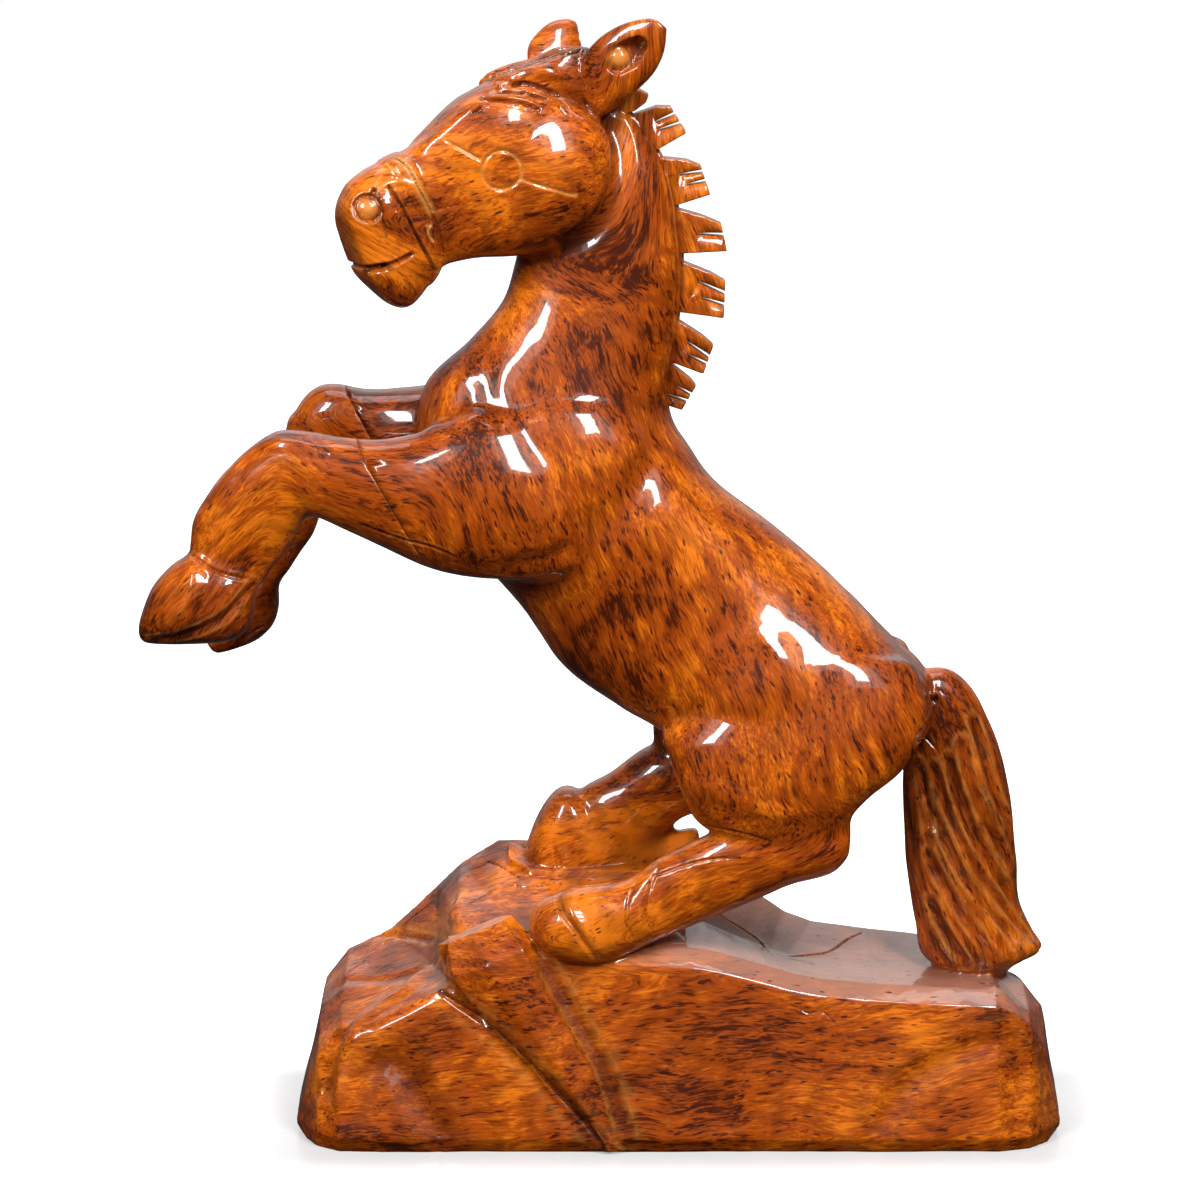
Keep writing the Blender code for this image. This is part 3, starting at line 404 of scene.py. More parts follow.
BODY_LINES = (
    (0.9, 1.5, "plain", BOTH, ((-23, 371), (-16, 366), (-11, 359), (-8, 352), (-4.6, 341), (-2.4, 325),
     (-1.2, 311), (-1.6, 297), (-3.6, 285), (-5.4, 273), (-5.6, 259))),
    (0.6, 1.2, "dark", (-1,), ((-112, 225), (-98, 220), (-88, 217.6), (-79, 214))),
    (4.5, 1.0, "plain", BOTH, ((-33, 218), (-19, 229), (-14, 238), (-13, 247))),
    (3.4, -0.8, "plain", BOTH, ((-74, 278), (-82, 266), (-88, 254))),
    (3.4, 0.7, "plain", BOTH, ((-68, 284), (-68, 270), (-64, 258))),
    (3.4, 1.7, "plain", BOTH, ((-63, 208), (-55, 211), (-46, 212.4), (-36, 217))),
    (8.0, 1.7, "plain", BOTH, ((-5.8, 151.6), (6.8, 161.4), (16.9, 172.8), (29.2, 181.8))),
    (3.6, -1.0, "plain", BOTH, ((0, 131), (12, 130), (23, 127), (39, 119))),
    (0.8, 0.5, "plain", BOTH, ((8, 117), (21, 115), (33, 111.5))),
    (0.6, 0.9, "dark", BOTH, ((-10, 98), (3, 103), (11, 105), (21, 106))),
    (1.5, 1.5, "keen", BOTH, ((-44.6, 97), (-42.1, 87.5), (-36.5, 80.0), (-29.8, 69.9))),
    (2.6, -0.9, "keen", BOTH, ((-41.5, 97), (-38.6, 87.5), (-33.0, 80.0), (-26.3, 70.5))),
    (0.8, 0.8, "plain", BOTH, ((-12, 99), (-17.4, 93), (-19, 84), (-17, 76))),
    (0.8, 0.8, "plain", BOTH, ((-7, 102), (-10.4, 95), (-11.4, 86), (-9, 77))),
    (2.6, -1.0, "plain", BOTH, ((-9.6, 101), (-13.8, 94), (-15.2, 85), (-13, 76))),
    *((2.7, 2.1, "keen", BOTH, strand) for strand in TAIL_STRANDS),
    (1.2, 1.6, "dark", BOTH, ((92, 158), (88, 153), (83, 146), (82, 140))),
    (0.7, 0.8, "plain", BOTH, ((83, 146), (88, 143), (93, 138))),
    (1.8, -1.0, "plain", BOTH, ((91, 160), (95, 157), (98, 152), (99.4, 146))),
    (5.0, -1.5, "keen", BOTH, ((-171, 214), (-171.8, 199), (-182.4, 186))),
    (2.4, 1.3, "keen", BOTH, ((-186, 182.4), (-175, 185), (-166, 188.6), (-158, 193.6), (-150, 203))),
    (1.0, 0.9, "plain", BOTH, ((-174, 214), (-163, 208), (-150, 204))),
    (2.2, -0.8, "plain", BOTH, ((-165, 231), (-152, 248), (-140, 253), (-122, 250))),
    (4.2, 1.0, "keen", (-1,), ((-85.3, 57.0), (-68.3, 45.4), (-52.1, 30.4), (-34.0, 10.9), (-26.9, 2.5))),
    (1.3, 1.6, "dark", (-1,), ((-85.3, 57.0), (-68.3, 45.4), (-52.1, 30.4), (-34.0, 10.9), (-26.9, 2.5))),
    (5.0, -1.5, "keen", (-1,), ((-115.5, 42.6), (-109.1, 46.9), (-99.1, 53.1), (-89.2, 59.3))),
    (0.7, 0.0, "pale", (-1,), ((-115.5, 42.6), (-109.1, 46.9), (-99.1, 53.1), (-89.2, 59.3))),
    (6.0, -1.3, "keen", (-1,), ((-115.4, 44), (-115.8, 36), (-118.0, 29.9), (-122.0, 13.8))),
    (6.5, 2.4, "keen", (-1,), ((-121.5, 41), (-125, 30), (-128.5, 16))),
    (8.5, 2.6, "keen", (-1,), ((-108.0, 35.1), (-97.4, 28.7), (-90.6, 17.1), (-80.3, 2.0))),
    (2.2, 1.4, "keen", (-1,), ((-126.3, 56.3), (-117.1, 58.1), (-103.9, 62.2), (-89.4, 64.7))),
    (5.0, -1.4, "keen", (-1,), ((-122.2, 56.5), (-108.9, 73.3), (-99.2, 82.4), (-86.0, 95.9))),
    (3.6, -0.9, "keen", (-1,), ((-84, 97), (-73.0, 90.8), (-78.7, 82.4), (-84.0, 72.2))),
    (2.4, 1.0, "keen", (-1,), ((-86.3, 60.2), (-84.2, 66.0), (-83.0, 75.0), (-79, 82.0))),
    (3.4, 1.2, "keen", (-1,), ((-53.4, 77.0), (-45.0, 62.5), (-36.6, 48.5), (-28.6, 34.5), (-22.8, 20),
     (-18.5, 5.0))),
    (6.5, 1.7, "keen", (-1,), ((66.1, 2.1), (80.0, 23.5), (101.5, 35.9), (116.1, 39.9))),
    (5.0, -1.2, "keen", (-1,), ((112.0, 57.0), (120.5, 44.2), (126.8, 29.6), (128.2, 7.5))),
    (7.0, 0.8, "plain", (-1,), ((-8, 50), (6, 30), (14, 6))),
    (0.35, 0.5, "dark", (-1,), ((40, 52), (46, 49), (50, 50), (55, 46))),
    (5.0, 1.4, "plain", (1,), ((-60, 4), (-44, 24), (-30, 48))),
    (4.0, 1.2, "plain", (1,), ((30, 2), (44, 22), (70, 34))),
    (3.7, 0.0, "pale", (-1,), ((-22.0, 385.6), (-21.6, 385.6))),
    (7.5, 0.0, "shade", (-1,), ((-108.0, 33.1), (-97.4, 26.7), (-90.6, 15.1), (-78.3, 0.0))),
    (3.4, 0.0, "shade", (-1,), ((-86.3, 60.0), (-68.3, 47.4), (-52.1, 32.4), (-34.0, 12.9), (-26.9, 4.5))),
    (4.0, 0.0, "shade", (-1,), ((-122, 62.3), (-103.9, 67.2), (-88.4, 68.7))),
    (3.0, 0.0, "shade", BOTH, ((-22, 371), (-15, 366), (-9, 359), (-5, 352), (-2.6, 341), (-0.4, 325), (0.8, 311),
     (0.4, 297), (-1.6, 285), (-4.4, 273))),
    (4.0, 0.0, "shade", BOTH, ((82, 140), (84, 120), (85, 100), (88, 78))),
)
TOP_LINES = (
    (0.6, 1.6, "dark", ((-76, 0), (-69, 5), (-62, 7), (-54, 5), (-47, 6))),
    (0.4, 0.9, "dark", ((-70, 28), (-63, 18), (-57, 10))),
    (0.4, 0.9, "dark", ((-57, 32), (-54, 21))),
    (0.45, 1.1, "dark", ((12, 9), (23, 6), (30, 2), (34, -9))),
    (0.4, 0.9, "dark", ((14, -20), (23, -26), (32, -21))),
    (0.55, 1.4, "dark", ((40, -3), (48, 2), (55, 7), (62, 20), (68, 28))),
    (0.4, 0.8, "dark", ((40, -6), (49, -8))),
    (0.4, 0.8, "dark", ((60, 35), (68, 38), (78, 42))),
    (0.45, 0.9, "dark", ((-90, 27), (-102, 26), (-113, 15), (-122, 4))),
    (2.2, 0.8, "plain", ((-129, 5), (-105, -8), (-89, -12))),
)
NOSTRIL = (-90.9, -20.2)
# Round cuts on each side of the straight head: middle, radius, half width, depth and finish
RINGS = (
    ((-43.8, -8.1), 6.7, 0.8, 0.8, "pale"),
    (NOSTRIL, 4.3, 0.9, 1.3, "dark"),
)
NOSEBAND_RISE = 1.0
# The slit of the mouth, as a wedge across the straight head: its two front corners and its end
MOUTH = ((-104, -41.6), (-104, -45.8), (-83.5, -39.2))
# Lighter and darker places, partly the wood's own tone and partly painted light and shade, such as painted shade on
# the neck under the head and painted light on the near hind cannon: middle seen from the side, reach and shift of the
# tone
TONES_AND_PAINTED_LIGHT = (
    ((-30, 300), 34, -0.24), ((-52, 272), 26, -0.20), ((-35, 330), 26, -0.10), ((-62, 378), 22, -0.12),
    ((25, 110), 30, 0.26), ((-15, 86), 26, 0.16), ((60, 30), 60, 0.12), ((-20, 25), 50, 0.06),
    ((60, 150), 30, -0.07), ((-130, 238), 30, 0.04), ((-40, 205), 24, -0.06), ((-100, 25), 20, -0.04),
)
# Boxes in which hollows stay crisp: the tail below its root, the muzzle, and the ears and forelock
CRISP_PLACES = (
    ((79, -60, 66), (200, 60, 147)),
    ((-150, -60, 295), (-95, 60, 350)),
    ((-80, -60, 371), (40, 60, 420)),
)
# Where the rays that find the surface start, in horse units: beside the head and the body, above the head,
# and above the rock but under the horse, in front of the hocks and behind them
BESIDE_HEAD = 60.0
BESIDE_BODY = 90.0
ABOVE_HEAD = 60.0
UNDER_BELLY = 100.0
UNDER_HOCKS = 75.0
HOCKS_FROM = 45.0
CURVE_STEPS = 6
RING_STEPS = 40
# Lines up to this half width are cut as a plain V with a burr, in horse units
NARROW_LINE = 1.9
# A nostril is cut by a ball, and a flattened disc stands in it: radius, how far out, and thickness
NOSTRIL_BALL = (7.8, 5.8, 1.0)
NOSTRIL_DISC = (3.5, -2.0, 0.55)
MOUTH_HALF_WIDTH = 30.0
EAR_BALL_HALVES = (4.1, 2.8, 4.1)
EAR_BALL_DEPTH = 18.4
# The noseband lies on the head's stations from this one, this wide at the side and shifted at its top
NOSEBAND_FROM = 7.45
NOSEBAND_WIDTH = 0.75
NOSEBAND_LEAN = 0.42
NOSEBAND_SIDES = 48
NOSEBAND_RINGS = 7
NOSEBAND_STEPS = 8
# How far on each side of a line its cut reaches, in its half widths, and how fast its ends run out
LINE_REACH = 2.4
END_RUN = 7.0
BURR_RISE = 0.10
# How strongly a hollow is filled, for each metre that it lies below its neighbours, and at what pace
FILL_GAIN = 12000.0
FILL_PACE = 0.8
# When a piece's triangles are thinned: how much the plain surface weighs against the lines,
# the weight of the crisp places, and the widest line that is spared, in horse units
SPARED = 0.00002
CRISP_WEIGHT = 0.6
SPARED_LINE = 1.6
# An edge is painted lighter, as rubbed wear and a painted highlight, and a hollow painted darker, as stain and painted
# shade, from these bends on, for each metre, and fully this much later
EDGE_FROM = 90.0
HOLLOW_FROM = 60.0
BEND_RANGE = 420.0
# A broad hollow, painted darker as painted shade, is found against the surface averaged this many times, and is full
# at this depth in metres
DEEP_ROUNDS = 60
DEEP_FULL = 0.0011
# The rock's top gets a painted reflection of the bright ceiling where it faces up, between these heights, from this
# place backwards, in metres
SHEEN_FACING = 0.55
SHEEN_LOW = 0.04
SHEEN_HIGH = 0.084
SHEEN_FROM = -0.03
BODY_TRIANGLES = 190000
FORELEG_TRIANGLES = 60000
# How the grain lies in each place: a pivot seen from the side in metres, the grain's turn in degrees,
# and the place whose grain it runs on from
GRAIN = {
    "body": ((0.0, 0.2), 112.0, None),
    "hock": ((0.05, 0.112), 24.0, "body"),
    "rock": ((0.0, 0.068), 4.0, "body"),
    "arm": ((-0.085, 0.235), 168.0, "body"),
    "shin": ((-0.145, 0.24), 225.0, "arm"),
    "head": ((-0.045, 0.33), 12.0, "body"),
}
# The studio's soft lights: name, place, size and power in watts
LIGHTS = (
    ("Key left", (-0.80, -1.15, 1.25), (0.26, 0.85), 20),
    ("Key right", (0.58, -1.12, 1.42), (0.34, 0.95), 26),
    ("Halo left", (-0.95, -1.35, 1.45), (0.9, 1.3), 6),
    ("Halo right", (0.75, -1.35, 1.65), (1.0, 1.4), 7),
    ("Top", (0.0, 0.35, 1.9), (1.2, 0.8), 8),
)
LIGHTS_AIM = (0.0, 0.0, 0.2)
FLOOR_RADIUS = 4.0
# The camera's distance, how far it looks down, the point it looks at and its lens in millimetres
CAMERA_REACH = 1.730
CAMERA_DOWN = math.radians(10.0)
CAMERA_TARGET = (-0.02836, 0.0, 0.19124)
CAMERA_LENS = 144.9
TINT = {"subtype": "COLOR", "size": 3, "min": 0.0, "max": 1.0}
BLACK, WHITE = (0.0, 0.0, 0.0), (1.0, 1.0, 1.0)
FLOAT, VECTOR = "NodeSocketFloat", "NodeSocketVector"


class CarvingSizes(bpy.types.PropertyGroup):
    """Sizes of the carving that a carver would choose."""
    grid: bpy.props.FloatProperty(name="Tool grain", description="Finest step of the carved surface",
                                  default=0.0006, min=0.0003, unit="LENGTH")
    blend_grid: bpy.props.FloatProperty(name="Roughing grain", description="Step at which the rounded forms blend",
                                        default=0.0012, min=0.0006, unit="LENGTH")
    blend_reach: bpy.props.FloatProperty(name="Blend reach", description="How far rounded forms run into each other",
                                         default=0.0049, min=0.0, unit="LENGTH")
    tool_marks: bpy.props.FloatProperty(name="Tool marks", description="Depth of the shallow facets left by the tools",
                                        default=0.0005, min=0.0, unit="LENGTH")
    seam_gap: bpy.props.FloatProperty(name="Seam gap", description="Gap at the glued seam of each foreleg",
                                      default=0.00015, min=0.00005, unit="LENGTH")
    mane_thickness: bpy.props.FloatProperty(name="Mane thickness", description="Thickness of the mane's board",
                                            default=0.0100, min=0.002, unit="LENGTH")
    mane_slot: bpy.props.FloatProperty(name="Mane slots", description="Width of a slot at the mane's tip",
                                       default=0.0016, min=0.0004, unit="LENGTH")
    mane_grid: bpy.props.FloatProperty(name="Mane grain", description="Finest step of the mane's surface",
                                       default=0.0004, min=0.0002, unit="LENGTH")
    tail_flutes: bpy.props.IntProperty(name="Tail flutes", description="Number of flutes round the tail",
                                       default=14, min=3, max=24)
    flute_depth: bpy.props.FloatProperty(name="Flute depth", description="Depth of a flute as a share of the tail",
                                         default=0.05, min=0.0, max=0.3, subtype="FACTOR")
    line_depth: bpy.props.FloatProperty(name="Cut lines", default=1.0, min=0.0, max=2.0, subtype="FACTOR",
                                        description="Depth of the cut lines, as a share of the usual")


class WoodFinish(bpy.types.PropertyGroup):
    """Colours and gloss of the lacquered wood."""
    light: bpy.props.FloatVectorProperty(name="Light wood", description="Colour of the light bands",
                                         default=(0.80, 0.190, 0.006), **TINT)
    middle: bpy.props.FloatVectorProperty(name="Middle wood", description="Colour of most of the wood",
                                          default=(0.38, 0.062, 0.002), **TINT)
    dark: bpy.props.FloatVectorProperty(name="Dark wood", description="Colour of the dark clouds",
                                        default=(0.060, 0.008, 0.001), **TINT)
    # The pores' colour also paints the shade in the dark lines
    pore_and_groove_shade: bpy.props.FloatVectorProperty(name="Pores and groove shade", description="Colour of the filled pores",
                                         default=(0.02, 0.004, 0.0015), **TINT)
    # This colour also paints the highlights on edges and ridges, and the pale lines
    rubbed_and_highlight: bpy.props.FloatVectorProperty(name="Rubbed edge and highlight", description="Colour of edges and of freshly cut lines",
                                          default=(0.72, 0.27, 0.05), **TINT)
    # Colour of the painted reflection of the bright ceiling on the rock's upward faces
    painted_sheen: bpy.props.FloatVectorProperty(name="Painted sheen on the top", description="Greyish colour of the rock's top",
                                             default=(0.42, 0.215, 0.155), **TINT)
    gloss: bpy.props.FloatProperty(name="Lacquer roughness", description="Roughness of the lacquer film",
                                   default=0.06, min=0.0, max=1.0, subtype="FACTOR")


class StudioLook(bpy.types.PropertyGroup):
    """Floor and light of the studio."""
    floor: bpy.props.FloatVectorProperty(name="Floor", description="Colour of the floor", default=(0.9, 0.9, 0.9),
                                         **TINT)
    key: bpy.props.FloatProperty(name="Key light", description="Strength of the large soft lights",
                                 default=1.0, min=0.0)


def catmull_rom(points, steps):
    """Points on a smooth curve through the given rows, with steps to each stretch."""
    rows = np.array(points, dtype=float)
    padded = np.vstack([2 * rows[0] - rows[1], rows, 2 * rows[-1] - rows[-2]])
    out = []
    for k in range(1, len(padded) - 2):
        a, b, c, d = padded[k - 1:k + 3]
        for j in range(steps):
            t = j / steps
            out.append(0.5 * (2 * b + (c - a) * t + (2 * a - 5 * b + 4 * c - d) * t ** 2
                              + (3 * b - a - 3 * c + d) * t ** 3))
    out.append(rows[-1])
    return np.array(out)


def place(x, y, z):
    """A point given in horse units, in metres above the ground."""
    return Vector((x * UNIT, y * UNIT, BASE_HEIGHT + (z + GROUND_LEVEL) * UNIT))


def turn_head(x, y, z):
    """A point measured from the poll on the straight head, in horse units, on the turned head."""
    cosine, sine = math.cos(HEAD_TURN), math.sin(HEAD_TURN)
    return POLL[0] + x * cosine - y * sine, x * sine + y * cosine, POLL[1] + z


def on_head(x, y, z):
    """A point of the straight head, in metres, where the turned head has it."""
    return place(*turn_head(x, y, z))


def new_object(name, mesh):
    made = bpy.data.objects.new(name, mesh)
    bpy.context.scene.collection.objects.link(made)
    return made


def shape_object(name, shape):
    """An object from a bmesh as it is."""
    mesh = bpy.data.meshes.new(name)
    shape.to_mesh(mesh)
    shape.free()
    return new_object(name, mesh)


def mesh_object(name, shape):
    """An object from a bmesh, with its faces outward and made of triangles."""
    bmesh.ops.recalc_face_normals(shape, faces=shape.faces)
    bmesh.ops.triangulate(shape, faces=shape.faces)
    return shape_object(name, shape)


def skinned(name, rings):
    """A closed shape with side faces between rings of points, and a cap at each end."""
    shape = bmesh.new()
    rings = [[shape.verts.new(point) for point in ring] for ring in rings]
    for first, second in zip(rings, rings[1:]):
        for k in range(len(first)):
            n = (k + 1) % len(first)
            shape.faces.new((first[k], first[n], second[n], second[k]))
    shape.faces.new(rings[0])
    shape.faces.new(rings[-1])
    return mesh_object(name, shape)


def section(station, sides, flute=None):
    """One ring of a limb: a rounded section between its top and bottom points."""
    top_x, top_z, low_x, low_z, half_width, middle, squareness = station
    power = 2.0 / squareness
    points = []
    for k in range(sides):
        angle = 2 * math.pi * k / sides
        up = math.copysign(abs(math.cos(angle)) ** power, math.cos(angle))
        side = math.copysign(abs(math.sin(angle)) ** power, math.sin(angle))
        reach = 1.0 if flute is None else flute(angle)
        share = 0.5 + 0.5 * up * reach
        points.append((low_x + (top_x - low_x) * share, middle + half_width * side * reach,
                       low_z + (top_z - low_z) * share))
    return points


def limb(name, stations, sides=32, steps=5, where=place, flutes=None):
    """A closed loft through the stations of a limb, the trunk, the head or the tail."""
    rows = catmull_rom(stations, steps)
    rings = []
    for index, row in enumerate(rows):
        flute = None if flutes is None else flutes(index / (len(rows) - 1))
        rings.append([where(*point) for point in section(row, sides, flute)])
    return skinned(name, rings)


def egg(name, middle, halves, tilt, where=place):
    """An egg-shaped form, tilted about Y."""
    shape = bmesh.new()
    bmesh.ops.create_uvsphere(shape, u_segments=32, v_segments=20, radius=1.0)
    turn = Matrix.Rotation(math.radians(tilt), 3, "Y")
    for vert in shape.verts:
        local = turn @ Vector([c * h for c, h in zip(vert.co, halves)])
        vert.co = where(*(m + c for m, c in zip(middle, local)))
    return mesh_object(name, shape)


def rock_rows():
    """The rock's rows, with smooth ones added where its top is worn round."""
    crisp = [row for row in ROCK if row[0] < WORN_FROM]
    worn = [row for row in ROCK if WORN_FROM <= row[0] <= WORN_TO]
    end = [row for row in ROCK if row[0] > WORN_TO]
    return crisp + [tuple(float(v) for v in row) for row in catmull_rom(worn, ROCK_STEPS)] + end


def rock():
    """The rock: a loft along X, with a foot, two upper edges and a crease between them."""
    rings = []
    for x, near_foot, near_y, near_z, mid_y, mid_z, far_y, far_z, far_foot in rock_rows():
        low = ROCK_FOOT / 2 if abs(x) == 1.0 else 0.0
        edge = WORN_EDGE if x >= WORN_FROM else CRISP_EDGE
        outline = ((near_foot * FOOT_EDGE, low), (near_foot, ROCK_FOOT),
                   *((near_y * out, near_z * up) for out, up in edge), (mid_y, mid_z),
                   *((far_y * out, far_z * up) for out, up in reversed(edge)),
                   (far_foot, ROCK_FOOT), (far_foot * FOOT_EDGE, low))
        rings.append([(x * BASE_LENGTH / 2, y * BASE_DEPTH / 2, z * BASE_HEIGHT) for y, z in outline])
    return skinned("rock", rings)


def boulder(name, stations):
    """A faceted swelling of the rock, in horse units."""
    return limb(name, stations, sides=8, steps=1)


def forelock():
    """Strands of the forelock, side by side over the poll."""
    made = []
    for k in range(STRANDS):
        shift = (k - STRANDS // 2) * STRAND_STEP
        stations = [row[:4] + (row[4] * STRAND_WIDTH,
                               shift * (0.6 + 0.1 * n) + STRAND_WAVE * math.sin(n * 1.9 + k), row[6])
                    for n, row in enumerate(FORELOCK)]
        made.append(limb("forelock_%d" % (k + 1), stations, sides=14, steps=3, where=on_head))
    return made


def tail_flutes(sizes):
    """The flutes of the tail, rounded between sharp valleys, which sweep round it on the way down."""
    def along_tail(along):
        depth = sizes.flute_depth * min(1.0, along * 3)

        def reach(angle):
            turn = sizes.tail_flutes * (angle + TAIL_SWEEP * along) + 0.7 * math.sin(3 * angle + 5 * along)
            return 1.0 - depth * (1.0 - abs(math.sin(turn / 2))) ** 1.2
        return reach
    return along_tail


def feed(tree, socket, value):
    """Links an input to a socket, or sets it to a number, a vector, a word or a colour."""
    if isinstance(value, bpy.types.NodeSocket):
        tree.links.new(value, socket)
    elif socket.type == "RGBA":
        socket.default_value = (*value[:3], 1.0)
    else:
        socket.default_value = value


def add(tree, kind, inputs=None, **settings):
    """A node with its settings, and its inputs fed by name or number."""
    made = tree.nodes.new(kind)
    for label, value in settings.items():
        setattr(made, label, value)
    for label, value in (inputs or {}).items():
        feed(tree, made.inputs[label], value)
    return made


def maths(tree, operation, first, second=None, third=None, clamp=False):
    """The result of a math node whose inputs are sockets or numbers."""
    inputs = {slot: value for slot, value in enumerate((first, second, third)) if value is not None}
    return add(tree, "ShaderNodeMath", inputs, operation=operation, use_clamp=clamp).outputs[0]


def ranged(tree, value, low, high, to_low=0.0, to_high=1.0, smooth=False):
    """The value moved from one range to another."""
    kind = "SMOOTHSTEP" if smooth else "LINEAR"
    return add(tree, "ShaderNodeMapRange", {"Value": value, "From Min": low, "From Max": high, "To Min": to_low,
                                            "To Max": to_high}, interpolation_type=kind).outputs["Result"]


def combined(tree, **axes):
    """A vector from sockets or numbers for its axes."""
    return add(tree, "ShaderNodeCombineXYZ", axes).outputs["Vector"]


def slot_tree():
    """A tree that sets a wedge on each point, narrow at the point, turned and sized by the point's values."""
    tree = bpy.data.node_groups.new("Mane slots", "GeometryNodeTree")
    socket = tree.interface.new_socket
    socket("Geometry", in_out="INPUT", socket_type="NodeSocketGeometry")
    named = {}
    for label, default in (("Mouth", 0.0016), ("Depth", 0.02), ("Narrowing", 0.45)):
        named[label] = socket(label, in_out="INPUT", socket_type=FLOAT)
        named[label].default_value = default
    socket("Wood", in_out="INPUT", socket_type="NodeSocketMaterial")
    socket("Geometry", in_out="OUTPUT", socket_type="NodeSocketGeometry")
    source = add(tree, "NodeGroupInput").outputs
    points = add(tree, "GeometryNodeMeshToPoints", {"Mesh": source["Geometry"]})
    block = add(tree, "GeometryNodeMeshCube", {"Size": (1.0, 1.0, 1.0), "Vertices X": 4})
    position = add(tree, "GeometryNodeInputPosition").outputs["Position"]
    parts = add(tree, "ShaderNodeSeparateXYZ", {"Vector": position}).outputs
    taper = ranged(tree, parts["X"], -0.5, 0.5, source["Narrowing"], 1.0)
    shaped = combined(tree, X=maths(tree, "ADD", parts["X"], 0.5), Y=parts["Y"],
                      Z=maths(tree, "MULTIPLY", parts["Z"], taper))
    wedge = add(tree, "GeometryNodeSetPosition", {"Geometry": block.outputs["Mesh"], "Position": shaped})
    turn, reach = [add(tree, "GeometryNodeInputNamedAttribute", {"Name": label}, data_type="FLOAT")
                   .outputs["Attribute"] for label in ("turn", "reach")]
    placed = add(tree, "GeometryNodeInstanceOnPoints", {
        "Points": points.outputs["Points"], "Instance": wedge.outputs["Geometry"],
        "Rotation": combined(tree, Y=turn), "Scale": combined(tree, X=reach, Y=source["Depth"], Z=source["Mouth"])})
    real = add(tree, "GeometryNodeRealizeInstances", {"Geometry": placed.outputs["Instances"]})
    finish = add(tree, "GeometryNodeSetMaterial", {"Geometry": real.outputs["Geometry"], "Material": source["Wood"]})
    add(tree, "NodeGroupOutput", {"Geometry": finish.outputs["Geometry"]})
    return tree, named["Mouth"].identifier, named["Depth"].identifier


def write_value(mesh, name, values):
    """One number for each point, kept under a name."""
    mesh.attributes.new(name, "FLOAT", "POINT").data.foreach_set("value", np.asarray(values, dtype=np.float32))


def mane_slots(sizes):
    """The wedges that part the fingers of the mane's tufts."""
    starts, turns, reaches = [], [], []
    for root, brow, tip_top, tip_foot, notch, slots in MANE_TUFTS:
        for share, end in slots:
            way = Vector(tip_top).lerp(Vector(tip_foot), share) - Vector(end)
            starts.append(place(end[0], 0.0, end[1]))
            turns.append(-math.atan2(way.y, way.x))
            reaches.append((way.length + SLOT_OVERRUN) * UNIT)
    mesh = bpy.data.meshes.new("mane_slots")
    mesh.from_pydata(starts, [], [])
    write_value(mesh, "turn", turns)
    write_value(mesh, "reach", reaches)
    made = new_object("mane_slots", mesh)
    tree, mouth, depth = slot_tree()
    step = made.modifiers.new("Slots", "NODES")
    step.node_group = tree
    step[mouth] = sizes.mane_slot
    step[depth] = sizes.mane_thickness * 3
    return baked(made, "mane_slots")


def tuft(index, values, thickness):
    """One tuft of the mane, a board set into the crest of the neck and thinner at its tip."""
    root, brow, tip_top, tip_foot, notch = (Vector(p) for p in values[:5])
    inward = (root + notch) * 0.5 - (tip_top + tip_foot) * 0.5
    depth = inward.normalized() * MANE_ROOT_DEPTH
    outline = ((root + depth, 1.15), (root, 1.12), (brow, 1.0), (tip_top, 0.84), (tip_foot, 0.84), (notch, 1.12),
               (notch + depth, 1.15))
    half = thickness / UNIT / 2 * (1.0 - MANE_THINNING * index)
    return skinned("mane_tuft_%d" % (index + 1),
                   [[place(p.x, side * half * grow, p.y) for p, grow in outline] for side in BOTH])


def baked(made, name):
    """A plain mesh object with the modifiers of another applied."""
    graph = bpy.context.evaluated_depsgraph_get()
    mesh = bpy.data.meshes.new_from_object(made.evaluated_get(graph))
    mesh.name = name
    fresh = new_object(name, mesh)
    bpy.data.objects.remove(made)
    return fresh


def joined(name, pieces):
    """Several closed shapes in one mesh, not yet blended."""
    shape = bmesh.new()
    for piece in pieces:
        shape.from_mesh(piece.data)
        bpy.data.objects.remove(piece)
    return shape_object(name, shape)


def one_skin(name, whole, grid, rounds):
    """One closed skin round overlapping shapes, smoothed for some rounds."""
    remesh = whole.modifiers.new("One skin", "REMESH")
    remesh.mode = "VOXEL"
    remesh.voxel_size = grid
    if rounds:
        smooth = whole.modifiers.new("Blend", "SMOOTH")
        smooth.factor = 0.5
        smooth.iterations = rounds
    return baked(whole, name)


def carved(target, other, operation, name):
    """The target cut by another shape or joined with it. The other shape is used up."""
    step = target.modifiers.new(operation.title(), "BOOLEAN")
    step.operation = operation
    step.solver = "MANIFOLD"
    step.object = other
    made = baked(target, name)
    bpy.data.objects.remove(other)
    return made


def seam_block(side, grow):
    """A block that holds one foreleg beyond its seam, grown by a gap if need be."""
    top, foot = Vector(SEAM_TOP), Vector(SEAM_FOOT)
    along = (top - foot).normalized()
    out = Vector((-along.y, along.x))
    grow = grow / UNIT
    stations = NEAR_FORELEG + FAR_FORELEG + NEAR_FORE_HOOF + FAR_FORE_HOOF
    spots = [Vector(row[k:k + 2]) - foot for row in stations for k in (0, 2)]
    spots = [spot for spot in spots if spot.dot(out) > 0]
    reach = max(spot.dot(out) for spot in spots) + SEAM_CLEARANCE
    high = foot + along * (max(spot.dot(along) for spot in spots) + SEAM_CLEARANCE) - out * grow
    low = foot + along * (min(spot.dot(along) for spot in spots) - SEAM_CLEARANCE) - out * grow
    corners = (high, high + out * reach, low + out * reach, low)
    outer = side * (max(row[4] + abs(row[5]) for row in stations) + SEAM_CLEARANCE)
    return skinned("seam_block", [[place(p.x, y, p.y) for p in corners] for y in (side * (BREAST - grow), outer)])


